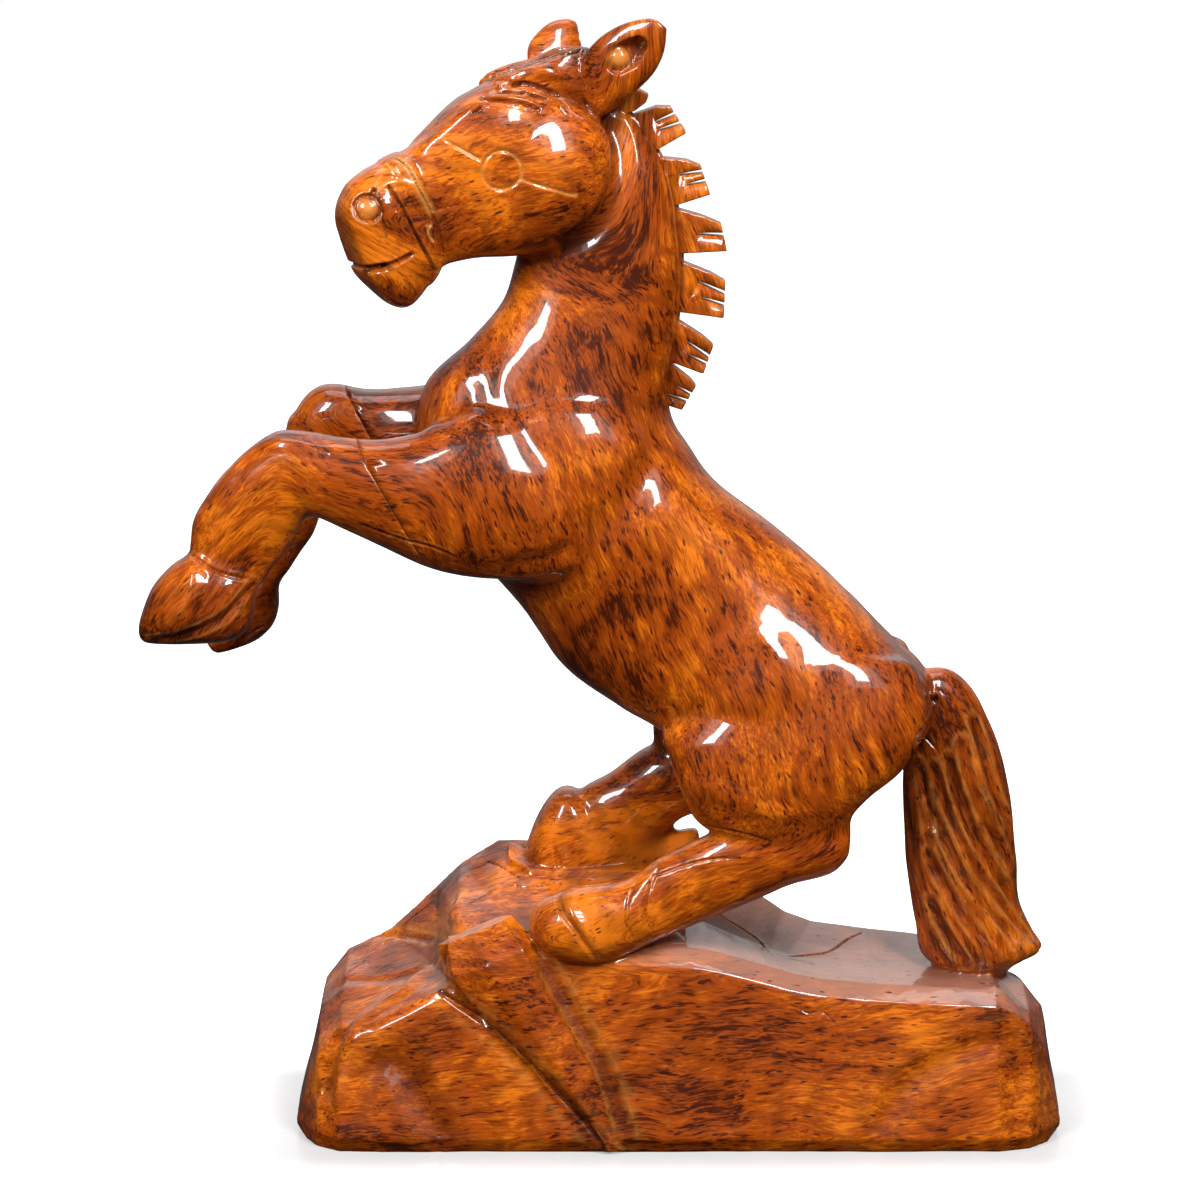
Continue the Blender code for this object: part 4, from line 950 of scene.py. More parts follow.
def read(rows, field, width, kind=np.float32):
    """One field of a mesh's vertices, normals or edges, with a row for each."""
    values = np.empty(len(rows) * width, dtype=kind)
    rows.foreach_get(field, values)
    return values.reshape(-1, width)


def read_points(mesh):
    return read(mesh.vertices, "co", 3)


def read_normals(mesh):
    return read(mesh.vertex_normals, "vector", 3)


def move_points(made, points):
    made.data.vertices.foreach_set("co", points.ravel())
    made.data.update()


def neighbour_mean(mesh):
    """The mesh's edges, how many meet at each vertex, and a way to average a value over its neighbours."""
    edges = read(mesh.edges, "vertices", 2, np.int32)
    total = len(mesh.vertices)
    count = np.maximum(np.bincount(edges.ravel(), minlength=total), 1).astype(np.float32)

    def mean(values):
        return (np.bincount(edges[:, 0], values[edges[:, 1]], total)
                + np.bincount(edges[:, 1], values[edges[:, 0]], total)) / count
    return edges, count, mean


def surface_lines(tree):
    """Every cut line as (half width, depth, points on the surface, way out of the wood, finish)."""
    made = []
    down = Vector((0, 0, -1))

    def cut(half, depth, finish, starts, way):
        hits = [tree.ray_cast(start, way) for start in starts]
        hits = [hit for hit in hits if hit[0] is not None]
        if len(hits) > 1:
            made.append((half * UNIT, depth * UNIT, np.array([hit[0][:] for hit in hits]),
                         np.array([hit[1][:] for hit in hits]), finish))

    def cut_head(half, depth, finish, side, rows):
        way = Vector(turn_head(0, 0, 0)) - Vector(turn_head(0, side, 0))
        cut(half, depth, finish, [on_head(x, side * BESIDE_HEAD, z) for x, z in rows], way)

    for half, depth, finish, sides, points in HEAD_LINES:
        for side in sides:
            cut_head(half, depth, finish, side, catmull_rom(points, CURVE_STEPS))
    for half, depth, finish, points in CROWN_LINES:
        rows = catmull_rom(points, CURVE_STEPS)
        cut(half, depth, finish, [on_head(x, y, ABOVE_HEAD) for x, y in rows], down)
    for half, depth, finish, sides, points in BODY_LINES:
        rows = catmull_rom(points, CURVE_STEPS)
        for side in sides:
            cut(half, depth, finish, [place(x, side * BESIDE_BODY, z) for x, z in rows], Vector((0, -side, 0)))
    for half, depth, finish, points in TOP_LINES:
        rows = catmull_rom(points, CURVE_STEPS)
        cut(half, depth, finish, [place(x, y, UNDER_BELLY if x < HOCKS_FROM else UNDER_HOCKS) for x, y in rows], down)
    for side in BOTH:
        for middle, radius, half, depth, finish in RINGS:
            ring = [(middle[0] + radius * math.cos(a), middle[1] + radius * math.sin(a))
                    for a in np.linspace(0, 2 * math.pi, RING_STEPS)]
            cut_head(half, depth, finish, side, ring)
    return made


def near_line(points, normals, line, margin):
    """For vertices near a line: their numbers, distance to it, and place along it from 0 to 1."""
    half, _, path, ways, _ = line
    reach = half * margin
    low, high = path.min(axis=0) - reach, path.max(axis=0) + reach
    chosen = np.nonzero(np.all((points > low) & (points < high), axis=1))[0]
    near = np.full(len(chosen), 1e9)
    along = np.zeros(len(chosen))
    facing = np.zeros(len(chosen))
    spots = points[chosen]
    lengths = np.linalg.norm(np.diff(path, axis=0), axis=1)
    total = max(lengths.sum(), 1e-9)
    run = 0.0
    for k in range(len(path) - 1):
        a, b = path[k], path[k + 1]
        way = b - a
        span = max(float(way @ way), 1e-14)
        t = np.clip(((spots - a) @ way) / span, 0.0, 1.0)
        distance = np.linalg.norm(spots - (a + t[:, None] * way), axis=1)
        closer = distance < near
        near[closer] = distance[closer]
        along[closer] = (run + t[closer] * lengths[k]) / total
        facing[closer] = (normals[chosen][closer] @ ways[k])
        run += lengths[k]
    kept = (near < reach) & (facing > 0.1)
    return chosen[kept], near[kept], along[kept]


def cut_lines(made, lines, share):
    """Cuts the lines into the surface. Narrow ones leave a slight burr, and keen ones a V or a ridge."""
    points, normals = read_points(made.data), read_normals(made.data)
    moved = np.zeros(len(points), dtype=np.float32)
    for line in lines:
        half, depth, path, _, finish = line
        chosen, near, along = near_line(points, normals, line, LINE_REACH)
        closed = np.linalg.norm(path[0] - path[-1]) < half
        taper = 1.0 if closed else np.clip(np.minimum(along, 1.0 - along) * END_RUN, 0.0, 1.0) ** 0.6
        r = near / half
        burr = 0.0
        if finish == "keen":
            groove = np.clip(1.06 - r, 0.0, 1.0) - 0.5 * np.clip(0.12 - r, 0.0, 1.0)
        else:
            groove = np.clip(1.0 - r, 0.0, 1.0)
            if half > NARROW_LINE * UNIT or depth < 0:
                groove = 0.5 + 0.5 * np.cos(np.pi * np.clip(r / 2.0, 0.0, 1.0))
            if half < NARROW_LINE * UNIT and depth > 0:
                burr = np.exp(-((r - 1.45) / 0.4) ** 2) * BURR_RISE
        moved[chosen] += (groove - burr) * taper * depth * share
    points -= normals * moved[:, None]
    move_points(made, points)


def in_boxes(points, boxes):
    """Which points lie in any of the boxes, given as two corners in horse units."""
    inside = np.zeros(len(points), dtype=bool)
    for low, high in boxes:
        inside |= np.all((points > np.array(place(*low)[:])) & (points < np.array(place(*high)[:])), axis=1)
    return inside


def soften_hollows(made, rounds):
    """Fills sharp inner corners with a small fillet, and leaves the edges and the crisp places as they are."""
    points = read_points(made.data)
    free = 1.0 - in_boxes(points, CRISP_PLACES)
    mean = neighbour_mean(made.data)[2]
    for step in range(rounds):
        around = np.stack([mean(points[:, axis]) for axis in range(3)], axis=1).astype(np.float32)
        if step % 4 == 0:
            normals = read_normals(made.data)
        shift = around - points
        hollow = np.clip((shift * normals).sum(axis=1) * FILL_GAIN, 0.0, 1.0) * free
        points += shift * hollow[:, None] * FILL_PACE
        if step % 4 == 3:
            move_points(made, points)
    move_points(made, points)


def thinned(made, name, triangles, lines):
    """The piece with fewer triangles, most of all where the surface is plain."""
    faces = sum(len(p.vertices) - 2 for p in made.data.polygons)
    points, normals = read_points(made.data), read_normals(made.data)
    plain = np.where(in_boxes(points, CRISP_PLACES), CRISP_WEIGHT, 1.0)
    for line in lines:
        if line[0] < SPARED_LINE * UNIT:
            plain[near_line(points, normals, line, 1.8)[0]] = 0.0
    group = made.vertex_groups.new(name="Plain")
    for value in (0.0, CRISP_WEIGHT, 1.0):
        group.add(np.nonzero(plain == value)[0].tolist(), value, "REPLACE")
    thin = made.modifiers.new("Fewer faces", "DECIMATE")
    thin.vertex_group = group.name
    thin.vertex_group_factor = SPARED
    thin.ratio = min(1.0, triangles / faces)
    thin.use_collapse_triangulate = True
    return baked(made, name)


def grain_at(name, x, z):
    """Coordinates along and across the grain of one place, for points seen from the side."""
    pivot, degrees, parent = GRAIN[name]
    start = grain_at(parent, *pivot) if parent else (0.0, 0.0)
    c, s = math.cos(math.radians(degrees)), math.sin(math.radians(degrees))
    dx, dz = x - pivot[0], z - pivot[1]
    return start[0] + dx * c + dz * s, start[1] - dx * s + dz * c


def grain_places(points):
    """Where each vertex lies in the wood, with X along the grain, in metres."""
    x, y, z = points[:, 0], points[:, 1], points[:, 2]

    def step(value, low, high):
        t = np.clip((value - low) / (high - low), 0.0, 1.0)
        return t * t * (3 - 2 * t)

    in_arm = (1.0 - step(x, -0.110, -0.070)) * (1.0 - step(z, 0.255, 0.280)) * step(z, 0.15, 0.17)
    behind_hocks = step(x, 0.070, 0.074) * step(z, BASE_HEIGHT - 0.001, BASE_HEIGHT + 0.001)
    weights = {
        "body": np.ones(len(points), dtype=np.float32),
        "hock": (1.0 - step(z, 0.100, 0.130)) * (1.0 - step(x, 0.062, 0.072)),
        "rock": (1.0 - step(z, 0.060, 0.078)) * (1.0 - behind_hocks),
        "arm": in_arm,
        "shin": (1.0 - step(x - 0.4 * z, -0.255, -0.22)) * in_arm,
        "head": step(z, 0.295, 0.325) * (1.0 - step(x, -0.03, 0.0)) * step(z + 0.45 * x, 0.265, 0.290),
    }
    out = np.zeros((len(points), 3), dtype=np.float32)
    for name, weight in weights.items():
        along, across = grain_at(name, x, z)
        out = out * (1 - weight[:, None]) + np.stack([along, y, across], axis=1) * weight[:, None]
    return out


def shaded_edges(mesh, points):
    """How far each vertex stands on an edge, and how far it lies in a narrow and in a broad hollow."""
    normals = read_normals(mesh)
    edges, count, mean = neighbour_mean(mesh)
    way = points[edges[:, 1]] - points[edges[:, 0]]
    length = np.maximum((way * way).sum(axis=1), 1e-12)
    first = -(way * normals[edges[:, 0]]).sum(axis=1) / length
    second = (way * normals[edges[:, 1]]).sum(axis=1) / length
    bend = (np.bincount(edges[:, 0], first, len(points)) + np.bincount(edges[:, 1], second, len(points))) / count
    for _ in range(3):
        bend = 0.5 * bend + 0.5 * mean(bend)
    edge = np.clip((bend - EDGE_FROM) / BEND_RANGE, 0.0, 1.0)
    hollow = np.clip((-bend - HOLLOW_FROM) / BEND_RANGE, 0.0, 1.0)
    wide = points.copy()
    for _ in range(DEEP_ROUNDS):
        wide = np.stack([mean(wide[:, axis]) for axis in range(3)], axis=1)
    deep = np.clip(-((points - wide) * normals).sum(axis=1) / DEEP_FULL, 0.0, 1.0)
    for _ in range(4):
        deep = mean(deep)
    return edge, hollow, deep


def write_values(mesh, lines):
    """Grain, edge, hollow, cut-line, sheen and tone values for the wood's material. Besides grain, wear, stain and the
    wood's own tone, they carry painted light: a painted highlight on edges and ridges, painted shade in hollows and
    dark lines, a painted reflection on the rock's top, and painted light and shade among the tones.
    """
    points, normals = read_points(mesh), read_normals(mesh)
    mesh.attributes.new("grain", "FLOAT_VECTOR", "POINT").data.foreach_set(
        "vector", grain_places(points).astype(np.float32).ravel())
    edge, hollow, deep = shaded_edges(mesh, points)
    pale = np.zeros(len(points))
    dark = np.zeros(len(points))
    # Dark lines are painted shade in their grooves, shade lines are painted shade over broad hollows, and pale lines
    # are painted pale, partly as a painted highlight
    for line in lines:
        if line[4] in ("pale", "dark", "shade"):
            chosen, near, along = near_line(points, normals, line, 2.2)
            inside = np.clip(1.3 - near / line[0], 0.0, 1.0)
            target = {"dark": dark, "pale": pale, "shade": deep}[line[4]]
            target[chosen] = np.maximum(target[chosen], inside * (0.7 if line[4] == "shade" else 1.0))
        # Keen lines add a painted highlight on their rims and crests to the edge values, and painted shade in their
        # valleys to the hollow values
        elif line[4] == "keen":
            chosen, near, along = near_line(points, normals, line, 1.6)
            r = near / line[0]
            ridge = np.exp(-((r - 1.1) / 0.22) ** 2) if line[1] > 0 else np.clip(1.0 - 2.4 * r, 0.0, 1.0)
            valley = np.clip(1.0 - 1.5 * r, 0.0, 1.0) * (line[1] > 0)
            narrow = min(1.0, 3.0 * UNIT / line[0]) ** 2
            edge[chosen] = np.maximum(edge[chosen], 0.8 * ridge * narrow)
            hollow[chosen] = np.maximum(hollow[chosen], (0.35 + 0.5 * narrow) * valley)
    # Painted light and shade by place, such as painted shade on the neck under the head and painted light on the near
    # hind cannon, mixed with the wood's own lighter and darker places
    tone = np.zeros(len(points))
    for (x, z), reach, shift in TONES_AND_PAINTED_LIGHT:
        middle = place(x, 0, z)
        tone += shift * np.exp(-(np.hypot(points[:, 0] - middle.x, points[:, 2] - middle.z) / (reach * UNIT)) ** 2)
    # The rock's upward faces get a painted reflection of the bright ceiling
    x, z = points[:, 0], points[:, 2]
    top = np.clip((normals[:, 2] - SHEEN_FACING) / 0.25, 0, 1) * np.clip((SHEEN_HIGH - z) / 0.01, 0, 1)
    top *= np.clip((z - SHEEN_LOW) / 0.01, 0, 1) * np.clip((x - SHEEN_FROM) / 0.03, 0, 1)
    for name, values in (("edge", edge), ("hollow", hollow), ("deep", deep), ("pale", pale), ("dark", dark),
                         ("painted_sheen", top), ("tone", tone)):
        write_value(mesh, name, values)


def soft_forms():
    """The horse's rounded forms, before they are blended."""
    made = [limb("trunk", TRUNK), limb("head", HEAD, where=on_head)]
    made += [limb("leg_%d" % k, stations) for k, stations in enumerate((
        NEAR_THIGH, NEAR_CANNON, FAR_THIGH, FAR_CANNON, FAR_HIND_HOOF, NEAR_FORELEG, FAR_FORELEG,
        NEAR_FORE_HOOF, FAR_FORE_HOOF))]
    made += [egg("muscle_%d" % k, *values) for k, values in enumerate(MUSCLES)]
    made += [egg("cheek_%d" % k, *values, where=on_head) for k, values in enumerate(CHEEKS)]
    return made


def ears():
    """Both ears, each with its pocket and the ball left in it."""
    made = []
    middle_x, middle_z = POCKET_MIDDLE
    for name, stations, side, (shift_x, shift_z) in (("near_ear", NEAR_EAR, 1, (0.0, 0.0)),
                                                     ("far_ear", FAR_EAR, -1, FAR_EAR_SHIFT)):
        ear = limb(name, stations, sides=24, steps=4)
        pocket = skinned("pocket", [[place(middle_x + (x - middle_x) * grow + shift_x, side * y,
                                           middle_z + (z - middle_z) * grow + shift_z) for x, z in POCKET]
                                    for y, grow in POCKET_DEPTHS])
        made.append(carved(ear, pocket, "DIFFERENCE", name))
        made.append(egg("ball", (POCKET_BALL[0] + shift_x, side * -EAR_BALL_DEPTH, POCKET_BALL[1] + shift_z),
                        EAR_BALL_HALVES, 0))
    return made


def nostril_ball(point, normal, radius, out, thickness):
    """A ball on the head's side, with its middle so far out and flattened along the way out."""
    shape = bmesh.new()
    bmesh.ops.create_uvsphere(shape, u_segments=24, v_segments=16, radius=radius * UNIT)
    turn = normal.to_track_quat("Z", "Y").to_matrix()
    for vert in shape.verts:
        local = vert.co.copy()
        local.z *= thickness
        vert.co = point + turn @ local + normal * (out * UNIT)
    return mesh_object("nostril", shape)


def nostrils(figure):
    """Cuts the nostrils and the mouth, and makes the small disc that stands in each nostril."""
    tree = BVHTree.FromObject(figure, bpy.context.evaluated_depsgraph_get())
    discs = []
    for side in BOTH:
        start, end = (on_head(NOSTRIL[0], y, NOSTRIL[1]) for y in (side * BESIDE_HEAD, 0.0))
        point, normal, _, _ = tree.ray_cast(start, (end - start).normalized())
        figure = carved(figure, nostril_ball(point, normal, *NOSTRIL_BALL), "DIFFERENCE", "figure")
        discs.append(nostril_ball(point, normal, *NOSTRIL_DISC))
    slit = skinned("mouth", [[on_head(x, side * MOUTH_HALF_WIDTH, z) for x, z in MOUTH] for side in BOTH])
    return carved(figure, slit, "DIFFERENCE", "figure"), discs


def noseband():
    """The strap round the muzzle, a little proud of the head's own sections."""
    rows = catmull_rom(HEAD, NOSEBAND_STEPS)
    rings = []
    for share in np.linspace(0.0, 1.0, NOSEBAND_RINGS):
        ring = []
        for k in range(NOSEBAND_SIDES):
            angle = 2 * math.pi * k / NOSEBAND_SIDES
            along = (NOSEBAND_FROM + NOSEBAND_WIDTH * share + NOSEBAND_LEAN * math.cos(angle)) * NOSEBAND_STEPS
            low = int(along)
            row = rows[low] + (rows[low + 1] - rows[low]) * (along - low)
            top_x, top_z, low_x, low_z, half_width, middle, squareness = row
            rise = NOSEBAND_RISE * math.sin(math.pi * (0.12 + 0.76 * share))
            up = Vector((top_x - low_x, top_z - low_z)).normalized() * rise
            lifted = (top_x + up.x, top_z + up.y, low_x - up.x, low_z - up.y, half_width + rise, middle, squareness)
            ring.append(on_head(*section(lifted, NOSEBAND_SIDES)[k]))
        rings.append(ring)
    return skinned("noseband", rings)


def tool_marked(whole, depth):
    """The carving with the shallow facets that the tools leave."""
    marks = bpy.data.textures.new("Tool marks", "CLOUDS")
    marks.noise_scale = 0.022
    marks.noise_depth = 1
    step = whole.modifiers.new("Tool marks", "DISPLACE")
    step.texture = marks
    step.texture_coords = "LOCAL"
    step.strength = depth * 2
    step.mid_level = 0.5
    return baked(whole, "carving")


def carving():
    """The whole carving in one skin with its lines cut, and the lines."""
    sizes = bpy.context.scene.carving_sizes
    coarse = 1.0
    grid = sizes.blend_grid * coarse
    figure = one_skin("figure", joined("figure", soft_forms()), grid, round((sizes.blend_reach / grid) ** 2))
    figure, extra = nostrils(figure)
    extra += ears() + forelock() + [rock(), boulder("near_boulder", NEAR_BOULDER), boulder("far_boulder", FAR_BOULDER)]
    extra += [noseband(), limb("tail", TAIL, sides=224, steps=8, flutes=tail_flutes(sizes))]
    whole = one_skin("carving", joined("carving", [figure] + extra), sizes.grid * coarse, 2)
    soften_hollows(whole, 8)
    whole = tool_marked(whole, sizes.tool_marks)
    lines = surface_lines(BVHTree.FromObject(whole, bpy.context.evaluated_depsgraph_get()))
    cut_lines(whole, lines, sizes.line_depth)
    tufts = [tuft(k, values, sizes.mane_thickness) for k, values in enumerate(MANE_TUFTS)]
    mane = one_skin("mane", joined("mane", tufts), sizes.mane_grid * coarse, 3)
    mane = carved(mane, mane_slots(sizes), "DIFFERENCE", "mane")
    return carved(whole, mane, "UNION", "carving"), lines


KEPT = {}


def cut_carving():
    """The carving, made once and kept between the pieces that are cut from it."""
    if "whole" not in KEPT:
        KEPT["whole"], KEPT["lines"] = carving()
    return KEPT["whole"], KEPT["lines"]


def finished(made, name, lines, material, node):
    """Fits a piece in its solid's box, gives it its values and finish, and ties it to the frame."""
    points = np.clip(read_points(made.data), np.array(LOW[:]), np.array(HIGH[:]))
    move_points(made, points.astype(np.float32))
    made.name = name
    write_values(made.data, lines)
    made.data.materials.clear()
    made.data.materials.append(material)
    made.data.shade_smooth()
    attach(made, "root")
    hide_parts(node)


def group_tree(name, inputs, outputs):
    """A shader node group and its inputs. An input without a number is a vector, and the rest are numbers."""
    tree = bpy.data.node_groups.new(name, "ShaderNodeTree")
    for label, value in inputs:
        kind = VECTOR if value is None else FLOAT
        socket = tree.interface.new_socket(label, in_out="INPUT", socket_type=kind)
        if value is not None:
            socket.default_value = value
    for label in outputs:
        tree.interface.new_socket(label, in_out="OUTPUT", socket_type=FLOAT)
    return tree, add(tree, "NodeGroupInput").outputs


def noise(tree, vector, scale, detail, rough, lacunarity=2.0, distortion=0.0, output="Fac"):
    return add(tree, "ShaderNodeTexNoise", {"Vector": vector, "Scale": scale, "Detail": detail, "Roughness": rough,
                                            "Lacunarity": lacunarity, "Distortion": distortion}).outputs[output]


def stretched(tree, vector, along):
    """The vector with X scaled, so that a pattern lies along it."""
    return add(tree, "ShaderNodeVectorMath", {0: vector, 1: (along, 1.0, 1.0)},
               operation="MULTIPLY").outputs["Vector"]


def bent(tree, vector, scale, detail, reach):
    """The vector bent a little by a soft noise."""
    bend = noise(tree, vector, scale, detail, 0.5, output="Color")
    return add(tree, "ShaderNodeVectorMath", {0: bend, 1: (reach, reach, reach), 2: vector},
               operation="MULTIPLY_ADD").outputs["Vector"]


def mixed(tree, share, first, second):
    """A colour mix whose inputs are sockets, colours or a share."""
    return add(tree, "ShaderNodeMix", {0: share, 6: first, 7: second}, data_type="RGBA").outputs[2]


def wood_figure_group():
    """The figure of the wood: clouds, bands along the grain and fine fibres."""
    tree, source = group_tree("Wood figure", (("Grain", None), ("Cloud Scale", 20.0), ("Fibre Scale", 1500.0)),
                              ("Tone", "Fibre", "Rings"))
    warped = bent(tree, source["Grain"], 22.0, 2.0, 0.012)
    clouds = noise(tree, stretched(tree, warped, 0.6), source["Cloud Scale"], 3.0, 0.6, 2.2, 0.8)
    bands = noise(tree, stretched(tree, warped, 0.2), 260.0, 4.0, 0.62, 2.2, 0.3)
    fibres = noise(tree, stretched(tree, warped, 0.11), source["Fibre Scale"], 3.0, 0.65)
    dashes = noise(tree, stretched(tree, warped, 0.16), 620.0, 2.0, 0.55, 2.0, 0.4)
    rings = add(tree, "ShaderNodeTexWave", {
        "Vector": stretched(tree, warped, 0.35), "Scale": 55.0, "Distortion": 5.0, "Detail": 2.0,
        "Detail Scale": 1.4, "Detail Roughness": 0.5}, wave_type="RINGS", rings_direction="Y", wave_profile="SIN")
    tone = -0.82
    for value, share in ((clouds, 1.75), (bands, 0.8), (fibres, 0.9),
                         (ranged(tree, dashes, 0.56, 0.66), -0.22)):
        tone = maths(tree, "MULTIPLY_ADD", value, share, tone)
    add(tree, "NodeGroupOutput", {"Tone": maths(tree, "ADD", tone, -0.36), "Rings": rings.outputs["Fac"],
                                  "Fibre": ranged(tree, fibres, 0.3, 0.7)})
    return tree


def pores_group():
    """Short dark pores along the grain, thinned out at random."""
    tree, source = group_tree("Filled pores", (("Grain", None), ("Pore Scale", 560.0), ("Share", 0.5)),
                              ("Mask", "Height"))
    grain = source["Grain"]
    cells = add(tree, "ShaderNodeTexVoronoi", {
        "Vector": stretched(tree, bent(tree, grain, 120.0, 1.0, 0.003), 0.22), "Scale": source["Pore Scale"],
        "Randomness": 1.0}, feature="F1")
    dot = ranged(tree, cells.outputs["Distance"], 0.14, 0.28, 1.0, 0.0, smooth=True)
    chance = add(tree, "ShaderNodeSeparateColor", {"Color": cells.outputs["Color"]})
    patches = noise(tree, stretched(tree, grain, 0.6), 60.0, 2.0, 0.5)
    limit = maths(tree, "MULTIPLY", ranged(tree, patches, 0.3, 0.7), source["Share"])
    mask = maths(tree, "MULTIPLY", dot, maths(tree, "LESS_THAN", chance.outputs["Red"], limit))
    add(tree, "NodeGroupOutput", {"Mask": mask, "Height": maths(tree, "MULTIPLY", mask, -1.0)})
    return tree


def wear_and_painted_light_group():
    """Broken-up masks of rubbed edges with a painted highlight on them, and of stain and painted shade in the hollows.
    """
    tree, source = group_tree("Wear, stain and painted light", (("Edge", 0.0), ("Hollow", 0.0), ("Deep", 0.0), ("Grain", None)),
                              ("Rubbed and painted highlight", "Stain and painted shade"))
    broken = ranged(tree, noise(tree, source["Grain"], 180.0, 3.0, 0.6), 0.38, 0.58, 0.25, 1.0)
    add(tree, "NodeGroupOutput", {
        "Rubbed and painted highlight": maths(tree, "MULTIPLY", source["Edge"], broken, clamp=True),
        "Stain and painted shade": maths(tree, "MAXIMUM", source["Hollow"], maths(tree, "MULTIPLY", source["Deep"], 0.8))})
    return tree


def placed_group(tree, name, build, inputs):
    """The outputs of a shared group, built at its first use, with its inputs fed."""
    made = tree.nodes.new("ShaderNodeGroup")
    made.node_tree = bpy.data.node_groups.get(name) or build()
    for label, value in inputs.items():
        feed(tree, made.inputs[label], value)
    return made.outputs


def lacquered_wood(name, cloud_scale, pore_share):
    """Orange-brown hardwood with dark clouds and pores, under a thick gloss lacquer."""
    finish = bpy.context.scene.wood_finish
    material = bpy.data.materials.new(name)
    material.use_nodes = True
    tree = material.node_tree
    shader = tree.nodes["Principled BSDF"]
    values = {label: add(tree, "ShaderNodeAttribute", attribute_name=label).outputs[
        "Vector" if label == "grain" else "Fac"]
              for label in ("grain", "edge", "hollow", "deep", "pale", "dark", "painted_sheen", "tone")}
    figure = placed_group(tree, "Wood figure", wood_figure_group, {
        "Grain": values["grain"], "Cloud Scale": cloud_scale, "Fibre Scale": 1500.0})
    pores = placed_group(tree, "Filled pores", pores_group, {
        "Grain": values["grain"], "Pore Scale": 560.0, "Share": pore_share})
    worn = placed_group(tree, "Wear, stain and painted light", wear_and_painted_light_group, {
        "Edge": values["edge"], "Hollow": values["hollow"], "Deep": values["deep"], "Grain": values["grain"]})
    ramp = add(tree, "ShaderNodeValToRGB", {"Fac": maths(tree, "ADD", figure["Tone"], values["tone"])})
    ramp.color_ramp.interpolation = "EASE"
    stops = ramp.color_ramp.elements
    stops[0].position, stops[0].color = 0.18, (*finish.dark, 1.0)
    stops[1].position, stops[1].color = 0.86, (*finish.light, 1.0)
    stops.new(0.50).color = (*finish.middle, 1.0)
    colour = ramp.outputs["Color"]
    # Over the wood's colour in turn: dark growth rings, the painted reflection on the rock's top, stain and painted
    # shade in the hollows, rubbed edges with painted highlights, pores, pale lines that are partly painted highlight,
    # and dark lines painted as shade
    for mask, share, tint in ((ranged(tree, figure["Rings"], 0.55, 0.95), 0.28, finish.dark),
                              (values["painted_sheen"], 0.72, finish.painted_sheen), (worn["Stain and painted shade"], 0.8, finish.dark),
                              (worn["Rubbed and painted highlight"], 0.55, finish.rubbed_and_highlight), (pores["Mask"], 0.85, finish.pore_and_groove_shade),
                              (values["pale"], 0.85, finish.rubbed_and_highlight), (values["dark"], 0.9, finish.pore_and_groove_shade)):
        colour = mixed(tree, maths(tree, "MULTIPLY", mask, share), colour, tint)
    height = maths(tree, "MULTIPLY_ADD", figure["Fibre"], 0.35, pores["Height"])
    bump = add(tree, "ShaderNodeBump", {"Strength": 0.35, "Distance": 0.0003, "Height": height})
    for label, value in {
            "Base Color": colour, "Roughness": ranged(tree, figure["Fibre"], 0.0, 1.0, 0.34, 0.50),
            "Normal": bump.outputs["Normal"], "Metallic": 0.0, "IOR": 1.5, "Specular IOR Level": 0.15,
            "Coat Weight": 1.0, "Coat Roughness": finish.gloss, "Coat IOR": 1.5}.items():
        feed(tree, shader.inputs[label], value)
    return material


class CARVING_OT_horse_on_rock(bpy.types.Operator):
    """Carve the horse's body, head, hind legs and tail with the rock under them."""
    bl_idname = "carving.horse_on_rock"
    bl_label = "Horse on rock"

    def execute(self, context):
        whole, lines = cut_carving()
        horse = new_object("horse_body", whole.data.copy())
        for side in BOTH:
            block = seam_block(side, context.scene.carving_sizes.seam_gap)
            horse = carved(horse, block, "DIFFERENCE", "horse_body")
        horse = thinned(horse, "horse_body", BODY_TRIANGLES, lines)
        material = lacquered_wood("Lacquered hardwood, body and rock", 20.0, 0.55)
        finished(horse, "horse_on_rock_carving", lines, material, "horse_on_rock")
        return {"FINISHED"}


class CARVING_OT_forelegs(bpy.types.Operator):
    """Carve the two forelegs that are glued on at the seams."""
    bl_idname = "carving.forelegs"
    bl_label = "Forelegs"

    def execute(self, context):
        whole, lines = cut_carving()
        material = lacquered_wood("Lacquered hardwood, forelegs", 24.0, 0.5)
        for node, side in (("left_foreleg", -1), ("right_foreleg", 1)):
            leg = new_object(node + "_part", whole.data.copy())
            leg = carved(leg, seam_block(side, 0.0), "INTERSECT", node + "_part")
            leg = thinned(leg, node + "_part", FORELEG_TRIANGLES, lines)
            finished(leg, node + "_carving", lines, material, node)
        bpy.data.objects.remove(whole)
        KEPT.clear()
        return {"FINISHED"}


def softbox(name, place_at, size, watts):
    """A large soft light aimed at the horse."""
    light = bpy.data.lights.new(name, "AREA")
    light.shape = "RECTANGLE"
    light.size, light.size_y = size
    light.energy = watts
    lamp = new_object(name, light)
    lamp.location = place_at
    lamp.rotation_euler = (Vector(LIGHTS_AIM) - Vector(place_at)).to_track_quat("-Z", "Y").to_euler()


def coordinates(tree, kind):
    """Texture coordinates of one kind as a vector, and their X, Y and Z."""
    where = add(tree, "ShaderNodeTexCoord").outputs[kind]
    return where, add(tree, "ShaderNodeSeparateXYZ", {"Vector": where}).outputs


